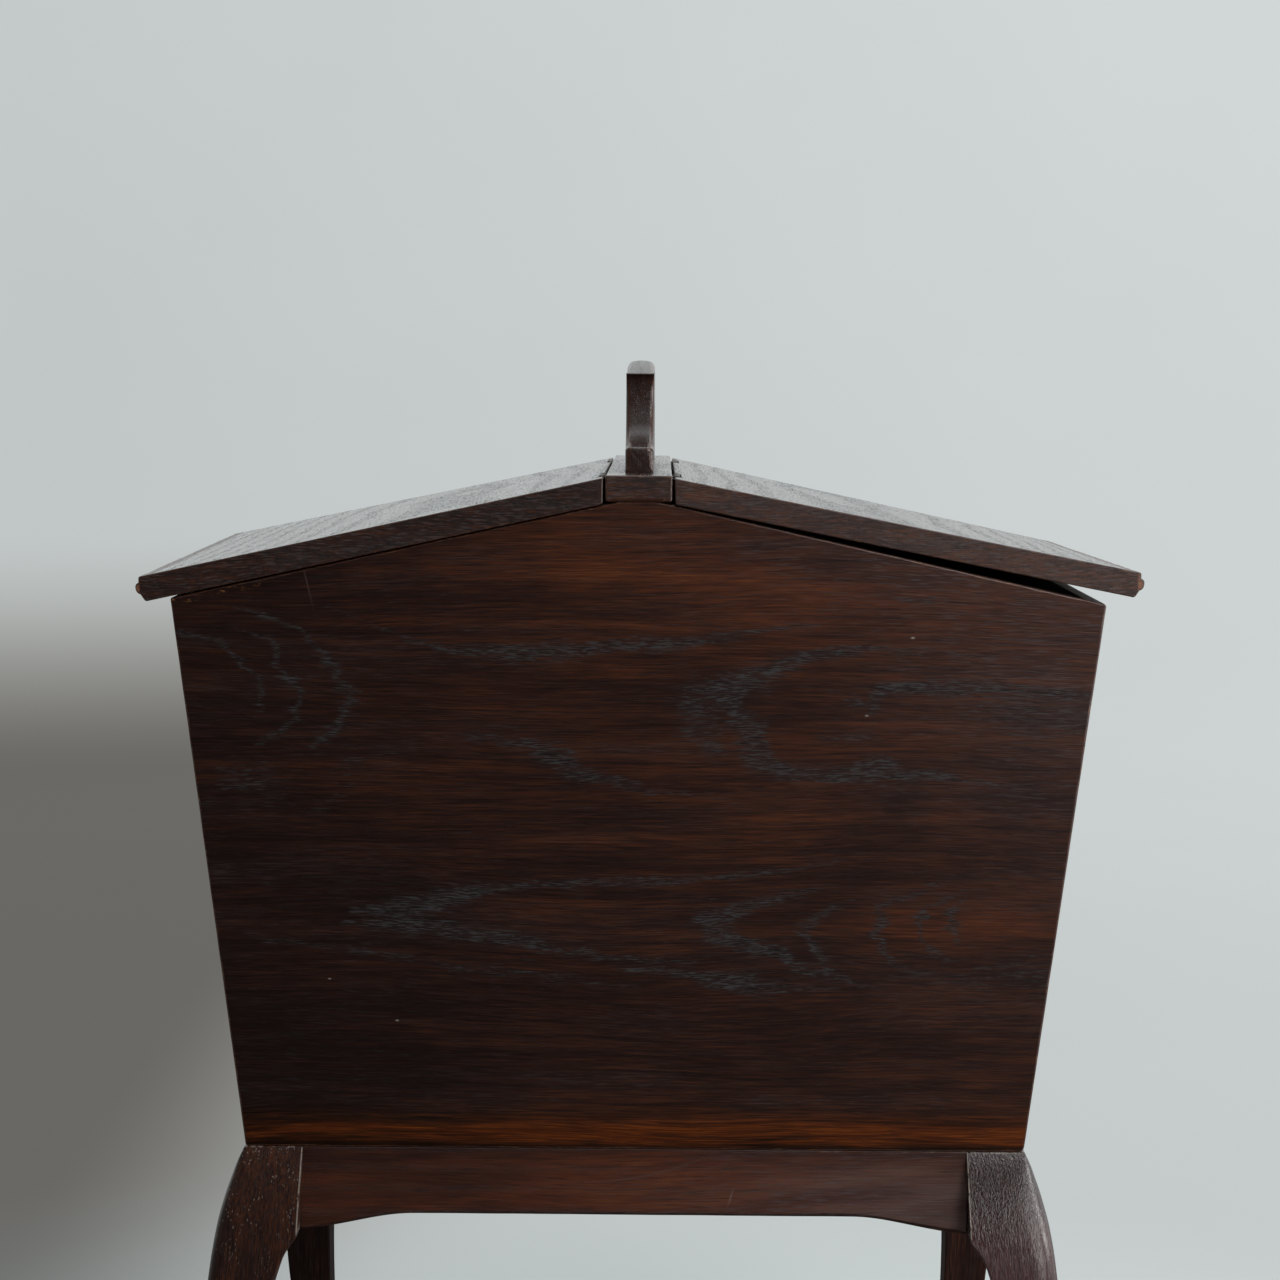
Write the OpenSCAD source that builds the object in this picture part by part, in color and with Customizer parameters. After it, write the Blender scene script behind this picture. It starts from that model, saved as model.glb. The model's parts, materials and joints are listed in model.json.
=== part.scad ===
// Gabled sewing box on a cabriole-leg stand.
// Two sloping lids are hinged to a fixed ridge board that carries a bow handle.
// Frame: origin at the centre of the floor under the feet, +Z up, +X to the
// right when the front end panel (the -Y end) is faced. Millimetres.

/* [Body] */
// Width of the body across its lower edge
body_bottom_w = 338; // [320:1:344]
// Width of the body across the two roof corners
body_corner_w = 400; // [380:1:408]
// Length of the body over both end panels
body_depth = 284; // [270:1:300]
// Height of the roof corners above the lower edge
body_corner_h = 238.7; // [225:0.1:250]
// Slope of the roof in degrees
roof_slope = 12.5; // [11:0.1:14]
// Thickness of the end panels
panel_t = 10; // [8:0.5:12]
// Thickness of the side boards
side_t = 9.5; // [8:0.5:12]
// Thickness of the bottom board
bottom_t = 8; // [6:0.5:10]
// Depth of the rebates that hold the side boards and the bottom board
rebate = 4.5; // [3:0.5:6]

/* [Ridge and handle] */
// Width of the ridge board
ridge_w = 28.6; // [26:0.1:30]
// Thickness of the ridge board
ridge_t = 11.2; // [10:0.1:13]
// Width of the flat on top of each end panel, where the ridge board sits
apex_w = 16.6; // [12:0.2:20]
// Thickness of the handle, across the box
handle_t = 12.4; // [10:0.2:15]
// Height of the handle above the ridge board
handle_h = 49; // [46:0.1:54]
// Length of the handle over its two feet
handle_len = 226; // [210:1:236]
// Length of each handle foot
foot_len = 37; // [30:1:40]

/* [Lids] */
// Thickness of the lid boards
lid_t = 11; // [10:0.1:12]
// Length of the lid boards
lid_len = 287; // [280:1:296]
// Reach of each lid from its hinge pin to its eave, along the slope
lid_reach = 200.8; // [190:0.1:206]
// Gap between a closed lid and the walls below it
lid_gap = 0.4; // [0.3:0.1:1]
// Gap between each lid and the ridge board at the hinges
ridge_gap = 1.6; // [1.5:0.1:2]
// How much closer the lids come to the ridge board beside the hinges, whose leaves are let in by this much
let_in = 0.8; // [0.4:0.1:1]
// How far the left lid stands open at its front end, in degrees
left_lift_front = 0.1; // [0:0.05:1]
// How far the left lid, slightly in wind, stands open at its back end
left_lift_back = 0.7; // [0:0.05:2]
// How far the right lid, in wind, stands open at its front end
right_lift_front = 1.45; // [0:0.05:2]
// How far the right lid stands open at its back end
right_lift_back = 0.1; // [0:0.05:1]

/* [Hinges] */
// Length of each butt hinge
hinge_len = 38; // [30:1:45]
// Distance of each hinge from the middle of the box
hinge_y = 98; // [80:1:105]
// Radius of the hinge barrel
barrel_r = 1.7; // [1.6:0.05:1.8]
// Radius of the hinge pin
pin_r = 0.75; // [0.6:0.05:0.9]
// Radial play of the lid leaf on its pin
pin_play = 0.05; // [0.02:0.01:0.09]
// Thickness of the hinge leaves
leaf_t = 0.7; // [0.6:0.05:0.75]
// Height of the hinge leaves below the pin
leaf_h = 8; // [7:0.5:8.5]

/* [Stand] */
// Height of the stand
stand_h = 240; // [230:1:260]
// Half width of the stand at its top, over the legs
stand_half_x = 169.4; // [160:0.2:172]
// Half depth of the stand at its top, over the legs
stand_half_y = 142.3; // [135:0.1:146]
// Thickness of the leg blocks at the top
leg_block = 25.2; // [22:0.2:28]
// Thickness of the aprons
apron_t = 16; // [14:1:18]
// Depth of the aprons at their middle
apron_mid = 29.5; // [26:0.5:32]
// Depth of the aprons at the legs
apron_end = 36.5; // [34:0.5:38]
// Thickness of the apron tenons
tenon_t = 7; // [6:0.5:8]
// Length of the apron tenons
tenon_len = 10; // [8:0.5:11]

/* [Tray] */
// Width of the sliding tray, in the direction it slides
tray_w = 170; // [140:1:180]
// Height of the sliding tray
tray_h = 45; // [35:1:55]
// Play between the tray and each end panel
tray_play = 0.8; // [0.5:0.1:1.5]
// Height of the tray runners' top above the body's lower edge
runner_top = 175; // [150:1:180]
// Thickness of the tray walls
tray_wall = 6; // [5:0.5:8]
// Thickness of the tray bottom
tray_floor = 4; // [3:0.5:5]

/* [Hidden] */
$fn = 48;
eps = 0.01;

wood = "#3b211b";
wood_red = "#4a271c";
inner_wood = "#7a5a3c";
metal = "#6d6252";

// --- derived body geometry -------------------------------------------------
hw0 = body_bottom_w/2;
hw1 = body_corner_w/2;
hd = body_depth/2;
wall_run = (hw1 - hw0)/body_corner_h;              // outward run per mm of height
wall_cos = cos(atan(wall_run));
side_x = side_t/wall_cos;                          // side board thickness measured along X
apex_h = body_corner_h + (hw1 - apex_w/2)*tan(roof_slope);
ridge_top = stand_h + apex_h + ridge_t;
ridge_bot = stand_h + apex_h;
inner_y = hd - panel_t;                            // inner face of the end panels
function outer_x(h) = hw0 + wall_run*h;
function inner_x(h) = outer_x(h) - side_x;
// where the inner face of a side board meets the roof line
roof_in_x = (hw0 - side_x + wall_run*(body_corner_h + hw1*tan(roof_slope)))/(1 + wall_run*tan(roof_slope));

// --- derived hinge geometry ------------------------------------------------
pin_below = 1.4;                                   // pin axis below the lid's top face
lid_in_x = ridge_w/2 + ridge_gap;                  // inner face of the lids
pin_x = lid_in_x + 0.5;
// height of the pin axis: under-face of the closed lid is lid_gap off the roof line
pin_z = stand_h + body_corner_h + (hw1 - pin_x)*tan(roof_slope)
    + (lid_gap + lid_t - pin_below)/cos(roof_slope);

// --- helpers ---------------------------------------------------------------
// extrude a drawing made in X and Z along Y, from y0 to y1
module along_y(y0, y1) { translate([0, y1, 0]) rotate([90, 0, 0]) linear_extrude(y1 - y0) children(); }
// extrude a drawing made in Y and Z along X, from x0 to x1
module along_x(x0, x1) { translate([x0, 0, 0]) rotate([90, 0, 90]) linear_extrude(x1 - x0) children(); }
module flip_x(s) { if (s > 0) children(); else mirror([1, 0, 0]) children(); }
module flip_y(s) { if (s > 0) children(); else mirror([0, 1, 0]) children(); }
module box(a, b) { translate(a) cube(b - a); }

// --- body ------------------------------------------------------------------
module body_outline() {
    polygon([[-hw0, stand_h], [hw0, stand_h], [hw1, stand_h + body_corner_h],
        [apex_w/2, stand_h + apex_h], [-apex_w/2, stand_h + apex_h],
        [-hw1, stand_h + body_corner_h]]);
}
module side_outline() {
    polygon([[outer_x(0), stand_h], [hw1, stand_h + body_corner_h],
        [roof_in_x, stand_h + body_corner_h + (hw1 - roof_in_x)*tan(roof_slope)], [inner_x(0), stand_h]]);
}
module bottom_space() {
    box([-(hw0 - rebate), -(hd - panel_t + rebate), stand_h - eps],
        [hw0 - rebate, hd - panel_t + rebate, stand_h + bottom_t]);
}
module end_panel(s) {
    flip_y(s) difference() {
        along_y(-hd, -inner_y) body_outline();
        for (m = [-1, 1]) flip_x(m) along_y(-inner_y - rebate, -inner_y + 1)
            polygon([[inner_x(-1), stand_h - 1], [outer_x(0) + 9, stand_h - 1], [hw1 + 9, stand_h + body_corner_h + 9],
                [inner_x(body_corner_h + 9), stand_h + body_corner_h + 9]]);
        bottom_space();
        translate([0, -hd + panel_t/2, stand_h + apex_h - 16]) cylinder(r = 3, h = 20);
    }
}
module side_board(s) {
    flip_x(s) difference() {
        along_y(-inner_y - rebate, inner_y + rebate) side_outline();
        bottom_space();
    }
}
module front_end_panel() color(wood) end_panel(1);
module back_end_panel() color(wood) end_panel(-1);
module left_side_board() color(wood) side_board(-1);
module right_side_board() color(wood) side_board(1);
module bottom_board() color(inner_wood) difference() {
    box([-(hw0 - rebate), -(inner_y + rebate), stand_h], [hw0 - rebate, inner_y + rebate, stand_h + bottom_t]);
    for (x = [-1, 1], y = [-1, 1])
        translate([x*block_screw_x, y*block_screw_y, stand_h - 1]) cylinder(r = 1.65, h = 7.1);
}

// --- ridge board and handle ------------------------------------------------
handle_screw_y = handle_len/2 - 17;
module ridge_board() color(wood) difference() {
    along_y(-lid_len/2, lid_len/2) polygon([
        [-ridge_w/2, ridge_bot + 0.8], [-ridge_w/2 + 0.8, ridge_bot], [ridge_w/2 - 0.8, ridge_bot],
        [ridge_w/2, ridge_bot + 0.8], [ridge_w/2, ridge_top - 0.8], [ridge_w/2 - 0.8, ridge_top],
        [-ridge_w/2 + 0.8, ridge_top], [-ridge_w/2, ridge_top - 0.8]]);
    for (m = [-1, 1]) {
        translate([0, m*(hd - panel_t/2), ridge_bot - 1]) cylinder(r = 3, h = 8);
        translate([0, m*handle_screw_y, ridge_bot - 1]) cylinder(r = 2, h = 20);
        translate([0, m*handle_screw_y, ridge_bot - eps]) cylinder(r1 = 3.8, r2 = 2, h = 2);
        for (x = [-1, 1], d = [-1, 1]) translate([x*ridge_w/2, m*hinge_y + d*hinge_screw, pin_z - screw_drop])
            rotate([0, -90*x, 0]) translate([0, 0, -1]) cylinder(r = 1.05, h = 9.6);
    }
}
module ridge_dowels() color(inner_wood) for (m = [-1, 1])
    translate([0, m*(hd - panel_t/2), ridge_bot - 15.5]) cylinder(r = 3, h = 22);

// side view of the handle: half outline from the foot to the crown, [y, z]
hl = handle_len/2;
function handle_top(y) = handle_h - 6.1*pow(abs(y)/(hl - 20.5), 2.15);
handle_half = concat(
    [[-hl, 0], [-hl, 10.4], [-hl + 0.5, 11.1], [-hl + 1.6, 11.5]],
    // hollow of the shoulder: a quarter turn, then a lip that leans out under the crown
    [for (a = [0:10:90]) [-hl + 24.6 - 20*(1 - sin(a)), 11.6 + 21.5*(1 - cos(a)) + 0.02*a]],
    [for (p = [[24.4, 11.6], [23.8, 9.2], [22.7, 7.5], [21.3, 6.7], [20.5, 6.1]]) [-hl + p[0], handle_h - p[1]]],
    [for (y = [-hl + 22.5:8:-2]) [y, handle_top(y)]]
);
grip_half = concat([[-hl + foot_len, -1]],
    [for (a = [0:12.5:75]) [-(hl - foot_len) + 26*(1 - cos(a)), 4 + 26*sin(a)]],
    [[-(hl - foot_len) + 36, 31.7], [-20, 33.4], [-7, 34]]);
module handle_side() difference() {
    polygon(concat(handle_half, [[0, handle_h]],
        [for (i = [len(handle_half) - 1:-1:0]) [-handle_half[i][0], handle_half[i][1]]]));
    polygon(concat(grip_half, [for (i = [len(grip_half) - 1:-1:0]) [-grip_half[i][0], grip_half[i][1]]]));
}
module handle() color(wood_red) difference() {
    translate([0, 0, ridge_top]) along_x(-handle_t/2, handle_t/2) handle_side();
    for (m = [-1, 1]) translate([0, m*handle_screw_y, ridge_top - 1]) cylinder(r = 2, h = 11);
}
module handle_screws() color(metal) for (m = [-1, 1]) translate([0, m*handle_screw_y, ridge_bot]) union() {
    cylinder(r1 = 3.75, r2 = 1.95, h = 1.95);
    cylinder(r = 1.95, h = ridge_t + 9.5);
}

// --- tray runners ----------------------------------------------------------
module runner(s) flip_y(s) box([-(inner_x(runner_top - 10) - 1), -inner_y, stand_h + runner_top - 10],
    [inner_x(runner_top - 10) - 1, -inner_y + 8, stand_h + runner_top]);
module front_tray_runner() color(inner_wood) runner(1);
module back_tray_runner() color(inner_wood) runner(-1);

// --- stand -----------------------------------------------------------------
// leg profile, seen square on and sawn the same on both visible faces: depth
// below the top and outward offset of the outer and of the inner face
leg_outer = [[0, 0], [6, 2.9], [12, 5.2], [18, 7.4], [24, 9.2], [30, 10.8], [36.5, 12.1],
    [45, 13.5], [51, 14.3], [58, 15.2], [66, 16.1], [76, 17.1], [88, 17.9], [100, 18.3],
    [114, 18.2], [128, 17.6], [142, 16.4], [156, 14.6], [170, 12.5], [184, 10.5], [196, 9.3],
    [206, 9.0], [214, 9.7], [221, 11.4], [228, 13.9], [233, 15.2], [237, 15.3], [240, 14.2]];
leg_inner = [[0, 0], [apron_end, 1.4], [40.5, 4.0], [45, 6.8], [51, 9.4], [58, 11.9],
    [66, 14.2], [76, 16.3], [88, 18.0], [100, 19.0], [114, 19.6], [128, 19.8], [142, 19.6],
    [156, 19.1], [170, 18.4], [184, 17.6], [196, 16.9], [206, 16.2], [214, 15.3], [221, 14.3],
    [228, 13.4], [233, 13.1], [237, 13.4], [240, 14.4]];
leg_k = stand_h/240;
module leg_outline(half) polygon(concat(
    [for (p = leg_outer) [half + p[1], stand_h - p[0]*leg_k]],
    [for (i = [len(leg_inner) - 1:-1:0]) let (p = leg_inner[i])
        [half - leg_block + p[1], stand_h - (i < 2 ? p[0] : p[0]*leg_k)]]));
tenon_top = stand_h - 5;
tenon_bot = stand_h - 27;
module leg(sx, sy) flip_x(sx) flip_y(sy) difference() {
    intersection() {
        along_y(stand_half_y - leg_block - 5, stand_half_y + 25) leg_outline(stand_half_x);
        along_x(stand_half_x - leg_block - 5, stand_half_x + 25) leg_outline(stand_half_y);
    }
    // mortises for the apron tenons
    box([stand_half_x - leg_block - 2, stand_half_y - apron_t/2 - tenon_t/2, tenon_bot],
        [stand_half_x - leg_block + tenon_len, stand_half_y - apron_t/2 + tenon_t/2, tenon_top]);
    box([stand_half_x - apron_t/2 - tenon_t/2, stand_half_y - leg_block - 2, tenon_bot],
        [stand_half_x - apron_t/2 + tenon_t/2, stand_half_y - leg_block + tenon_len, tenon_top]);
}
module front_left_leg() color(wood) leg(-1, -1);
module front_right_leg() color(wood) leg(1, -1);
module back_left_leg() color(wood) leg(-1, 1);
module back_right_leg() color(wood) leg(1, 1);

// apron drawn along its length, e is its half length at the top
function apron_curve(t) = t*t*(3 - 2*t);
module apron_outline(e) polygon(concat(
    [[-e, stand_h], [e, stand_h], [e + 1.4, stand_h - apron_end]],
    [for (i = [1:11]) let (t = i/12) [e + 1.4 - 50*t, stand_h - apron_end + (apron_end - apron_mid)*apron_curve(t)]],
    [[e - 48.6, stand_h - apron_mid], [-(e - 48.6), stand_h - apron_mid]],
    [for (i = [11:-1:1]) let (t = i/12) [-(e + 1.4 - 50*t), stand_h - apron_end + (apron_end - apron_mid)*apron_curve(t)]],
    [[-(e + 1.4), stand_h - apron_end]]));
module apron_x(s) flip_y(s) difference() {
    union() {
        along_y(stand_half_y - apron_t, stand_half_y) apron_outline(stand_half_x - leg_block);
        box([-(stand_half_x - leg_block + tenon_len), stand_half_y - apron_t/2 - tenon_t/2, tenon_bot],
            [stand_half_x - leg_block + tenon_len, stand_half_y - apron_t/2 + tenon_t/2, tenon_top]);
    }
    for (m = [-1, 1]) translate([m*block_side_x, stand_half_y - apron_t - 1, block_mid]) rotate([-90, 0, 0])
        cylinder(r = 1.65, h = 10.6);
}
module apron_y(s) flip_x(s) difference() {
    union() {
        along_x(stand_half_x - apron_t, stand_half_x) apron_outline(stand_half_y - leg_block);
        box([stand_half_x - apron_t/2 - tenon_t/2, -(stand_half_y - leg_block + tenon_len), tenon_bot],
            [stand_half_x - apron_t/2 + tenon_t/2, stand_half_y - leg_block + tenon_len, tenon_top]);
    }
    for (m = [-1, 1]) translate([stand_half_x - apron_t - 1, m*block_side_y, block_mid - 5]) rotate([0, 90, 0])
        cylinder(r = 1.65, h = 10.6);
}
module front_apron() color(wood) apron_x(-1);
module back_apron() color(wood) apron_x(1);
module left_apron() color(wood) apron_y(-1);
module right_apron() color(wood) apron_y(1);

// triangular glue blocks in the corners, notched round the leg
block_h = 20;
block_mid = stand_h - 11;
block_size = 62;
bx = stand_half_x - apron_t;                       // inner faces of the aprons
by = stand_half_y - apron_t;
block_side_x = bx - 48;                            // screws into the front and back aprons
block_side_y = by - 48;                            // screws into the side aprons
block_screw_x = bx - 26;                           // screws up into the bottom board
block_screw_y = by - 26;
module corner_block(sx, sy) flip_x(sx) flip_y(sy) difference() {
    translate([0, 0, stand_h - block_h]) linear_extrude(block_h)
        polygon([[bx, by], [bx - block_size, by], [bx - block_size, by - 10], [bx - 10, by - block_size], [bx, by - block_size]]);
    box([stand_half_x - leg_block - 1, stand_half_y - leg_block - 1, stand_h - block_h - 1], [bx + 1, by + 1, stand_h + 1]);
    translate([block_screw_x, block_screw_y, stand_h - block_h - 1]) cylinder(r = 1.8, h = block_h + 2);
    translate([block_screw_x, block_screw_y, stand_h - block_h - eps]) cylinder(r1 = 3.5, r2 = 1.8, h = 1.8);
    translate([block_side_x, by - 30, block_mid]) rotate([-90, 0, 0]) cylinder(r = 1.8, h = 32);
    translate([block_side_x, by - 30, block_mid]) rotate([-90, 0, 0]) cylinder(r = 3.5, h = 16);
    translate([bx - 30, block_side_y, block_mid - 5]) rotate([0, 90, 0]) cylinder(r = 1.8, h = 32);
    translate([bx - 30, block_side_y, block_mid - 5]) rotate([0, 90, 0]) cylinder(r = 3.5, h = 16);
}
module front_left_corner_block() color(inner_wood) corner_block(-1, -1);
module front_right_corner_block() color(inner_wood) corner_block(1, -1);
module back_left_corner_block() color(inner_wood) corner_block(-1, 1);
module back_right_corner_block() color(inner_wood) corner_block(1, 1);

// countersunk wood screw standing on its head, shank r, total length l
module screw(r, head, l) union() {
    cylinder(r1 = head, r2 = r, h = head - r);
    cylinder(r = r, h = l);
}
module corner_block_screws() color(metal) for (x = [-1, 1], y = [-1, 1]) {
    translate([x*block_side_x, y*(by - 15.8), block_mid]) rotate([-90*y, 0, 0]) screw(1.6, 3.3, 23);
    translate([x*(bx - 15.8), y*block_side_y, block_mid - 5]) rotate([0, 90*x, 0]) screw(1.6, 3.3, 23);
}
module stand_to_box_screws() color(metal) for (x = [-1, 1], y = [-1, 1])
    translate([x*block_screw_x, y*block_screw_y, stand_h - block_h]) screw(1.6, 3.3, block_h + 5.5);

// --- lids ------------------------------------------------------------------
// cross-section of a closed lid about its pin: u runs down the slope, w is
// square to the board; the eave carries a small worked bead
lid_u = lid_reach;
lid_face = concat(
    [for (p = [[-0.5 - let_in, 0.85], [0.1 - let_in, 1.4]]) p],
    [for (p = [[lid_u - 0.2, 1.4], [lid_u + 0.7, 0.7], [lid_u + 1.0, -1.1], [lid_u + 2.2, -1.5],
        [lid_u + 2.7, -2.3], [lid_u + 2.8, -3.4], [lid_u + 2.7, -4.6], [lid_u + 2.2, -5.7],
        [lid_u + 1.3, -6.1], [lid_u + 0.9, -6.9], [lid_u + 0.1, -9.0],
        [lid_u - 0.6, 1.4 - lid_t]]) p],
    [[2.4 - let_in, 1.4 - lid_t], [1.7 - let_in, 2.0 - lid_t]]);
// a point of the section, turned up from closed by the angle a, for the right lid
function lid_xz(p, a) = let (s = roof_slope - a) [p[0]*cos(s) + p[1]*sin(s), -p[0]*sin(s) + p[1]*cos(s)];
lid_steps = 6;
module lid_board(front, back) {
    m = len(lid_face);
    pts = [for (i = [0:lid_steps]) let (a = front + (back - front)*i/lid_steps) for (p = lid_face)
        let (q = lid_xz(p, a)) [pin_x + q[0], -lid_len/2 + lid_len*i/lid_steps, pin_z + q[1]]];
    polyhedron(points = pts, faces = concat(
        [[for (j = [0:m - 1]) j]],
        [[for (j = [m - 1:-1:0]) lid_steps*m + j]],
        [for (i = [0:lid_steps - 1], j = [0:m - 1]) let (k = (j + 1)%m) [i*m + j, (i + 1)*m + j, i*m + k]],
        [for (i = [0:lid_steps - 1], j = [0:m - 1]) let (k = (j + 1)%m) [i*m + k, (i + 1)*m + j, (i + 1)*m + k]]));
}
function lift(front, back, y) = front + (back - front)*(y + lid_len/2)/lid_len;
module about_pin(a) translate([pin_x, 0, pin_z]) rotate([0, -a, 0]) children();
module lid(s, front, back) flip_x(s) difference() {
    lid_board(front, back);
    for (m = [-1, 1]) about_pin(lift(front, back, m*hinge_y)) {
        box([-4, m*hinge_y - hinge_len/2 - 0.4, -2.1], [2.1, m*hinge_y + hinge_len/2 + 0.4, 4]);
        box([-4, m*hinge_y - hinge_len/2 - 0.4, -12], [-0.42, m*hinge_y + hinge_len/2 + 0.4, 0]);
        for (d = [-1, 1]) translate([-2, m*hinge_y + d*hinge_screw, -screw_drop]) rotate([0, 90, 0]) cylinder(r = 1.05, h = 10.6);
    }
}
module left_lid() color(wood) lid(-1, left_lift_front, left_lift_back);
module right_lid() color(wood) lid(1, right_lift_front, right_lift_back);

// --- butt hinges -----------------------------------------------------------
hinge_screw = 12.5;
screw_drop = 4.6;
knuckle = (hinge_len - 0.6)/3;
module barrel(y0, y1) translate([0, y0, 0]) rotate([-90, 0, 0]) cylinder(r = barrel_r, h = y1 - y0);
// both leaves are drawn about the pin, for a hinge on the right of the ridge
module ridge_leaf(s, y) flip_x(s) translate([pin_x, y, pin_z]) difference() {
    union() {
        barrel(-hinge_len/2, -hinge_len/2 + knuckle);
        barrel(hinge_len/2 - knuckle, hinge_len/2);
        box([-(pin_x - ridge_w/2), -hinge_len/2, -leaf_h], [-(pin_x - ridge_w/2) + leaf_t, hinge_len/2, 0.4]);
    }
    translate([0, -hinge_len/2 - 1, 0]) rotate([-90, 0, 0]) cylinder(r = pin_r, h = hinge_len + 2);
    box([-4, -knuckle/2 - 0.3, -barrel_r - 0.3], [2, knuckle/2 + 0.3, 2]);
    for (d = [-1, 1]) translate([-4, d*hinge_screw, -screw_drop]) rotate([0, 90, 0]) cylinder(r = 1.05, h = 8);
}
module lid_leaf(s, y, a) flip_x(s) translate([pin_x, y, pin_z]) rotate([0, -a, 0]) difference() {
    union() {
        barrel(-knuckle/2, knuckle/2);
        box([-0.5 - leaf_t, -hinge_len/2, -leaf_h], [-0.5, hinge_len/2, -0.2]);
    }
    translate([0, -hinge_len/2 - 1, 0]) rotate([-90, 0, 0]) cylinder(r = pin_r + pin_play, h = hinge_len + 2);
    for (m = [-1, 1]) flip_y(m) box([-4, knuckle/2, -barrel_r - 0.4], [2, hinge_len/2 + 1, 2]);
    for (d = [-1, 1]) translate([-4, d*hinge_screw, -screw_drop]) rotate([0, 90, 0]) cylinder(r = 1.05, h = 8);
}
module hinge_pin(s, y) flip_x(s) translate([pin_x, y - hinge_len/2, pin_z]) rotate([-90, 0, 0])
    cylinder(r = pin_r, h = hinge_len);
module left_front_ridge_leaf() color(metal) ridge_leaf(-1, -hinge_y);
module left_back_ridge_leaf() color(metal) ridge_leaf(-1, hinge_y);
module right_front_ridge_leaf() color(metal) ridge_leaf(1, -hinge_y);
module right_back_ridge_leaf() color(metal) ridge_leaf(1, hinge_y);
module left_front_lid_leaf() color(metal) lid_leaf(-1, -hinge_y, lift(left_lift_front, left_lift_back, -hinge_y));
module left_back_lid_leaf() color(metal) lid_leaf(-1, hinge_y, lift(left_lift_front, left_lift_back, hinge_y));
module right_front_lid_leaf() color(metal) lid_leaf(1, -hinge_y, lift(right_lift_front, right_lift_back, -hinge_y));
module right_back_lid_leaf() color(metal) lid_leaf(1, hinge_y, lift(right_lift_front, right_lift_back, hinge_y));
module left_front_hinge_pin() color(metal) hinge_pin(-1, -hinge_y);
module left_back_hinge_pin() color(metal) hinge_pin(-1, hinge_y);
module right_front_hinge_pin() color(metal) hinge_pin(1, -hinge_y);
module right_back_hinge_pin() color(metal) hinge_pin(1, hinge_y);

// flush screws: they end level with the face of the leaf
module ridge_leaf_screws() color(metal) for (s = [-1, 1], m = [-1, 1], d = [-1, 1])
    translate([s*(ridge_w/2 + leaf_t), m*hinge_y + d*hinge_screw, pin_z - screw_drop]) rotate([0, -90*s, 0])
        cylinder(r = 1, h = 9);
module lid_leaf_screws(s, front, back) flip_x(s) for (m = [-1, 1], d = [-1, 1])
    about_pin(lift(front, back, m*hinge_y)) translate([-0.5 - leaf_t, m*hinge_y + d*hinge_screw, -screw_drop])
        rotate([0, 90, 0]) cylinder(r = 1, h = 9);
module left_lid_leaf_screws() color(metal) lid_leaf_screws(-1, left_lift_front, left_lift_back);
module right_lid_leaf_screws() color(metal) lid_leaf_screws(1, right_lift_front, right_lift_back);

// --- sliding tray ----------------------------------------------------------
tz = stand_h + runner_top + 0.05;                  // under-face of the tray
tl = inner_y - tray_play;                          // half length of the tray
tw = tray_w/2;
cross_y = 44;
module tray_bottom() color(inner_wood) box([-tw, -tl, tz], [tw, tl, tz + tray_floor]);
module tray_end(s) flip_y(s) box([-tw, tl - tray_wall, tz + tray_floor], [tw, tl, tz + tray_h]);
module tray_side(s) flip_x(s) box([tw - tray_wall, -(tl - tray_wall), tz + tray_floor], [tw, tl - tray_wall, tz + tray_h]);
module tray_front_end() color(inner_wood) tray_end(-1);
module tray_back_end() color(inner_wood) tray_end(1);
module tray_left_side() color(inner_wood) tray_side(-1);
module tray_right_side() color(inner_wood) tray_side(1);
module tray_long_divider() color(inner_wood)
    box([-2.5, -(tl - tray_wall), tz + tray_floor], [2.5, tl - tray_wall, tz + tray_h - 8]);
module cross_divider(y) box([-(tw - tray_wall), y - 2, tz + tray_floor], [-2.5, y + 2, tz + tray_h - 8]);
module tray_front_cross_divider() color(inner_wood) cross_divider(-cross_y);
module tray_back_cross_divider() color(inner_wood) cross_divider(cross_y);

front_end_panel();
back_end_panel();
left_side_board();
right_side_board();
bottom_board();
ridge_board();
ridge_dowels();
handle();
handle_screws();
front_tray_runner();
back_tray_runner();
front_left_leg();
front_right_leg();
back_left_leg();
back_right_leg();
front_apron();
back_apron();
left_apron();
right_apron();
front_left_corner_block();
front_right_corner_block();
back_left_corner_block();
back_right_corner_block();
corner_block_screws();
stand_to_box_screws();
left_lid();
right_lid();
left_front_ridge_leaf();
left_back_ridge_leaf();
right_front_ridge_leaf();
right_back_ridge_leaf();
left_front_lid_leaf();
left_back_lid_leaf();
right_front_lid_leaf();
right_back_lid_leaf();
left_front_hinge_pin();
left_back_hinge_pin();
right_front_hinge_pin();
right_back_hinge_pin();
ridge_leaf_screws();
left_lid_leaf_screws();
right_lid_leaf_screws();
tray_bottom();
tray_front_end();
tray_back_end();
tray_left_side();
tray_right_side();
tray_long_divider();
tray_front_cross_divider();
tray_back_cross_divider();
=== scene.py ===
import json
import math

import bpy
import bmesh
import numpy as np
from mathutils import Matrix, Vector, noise

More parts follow.
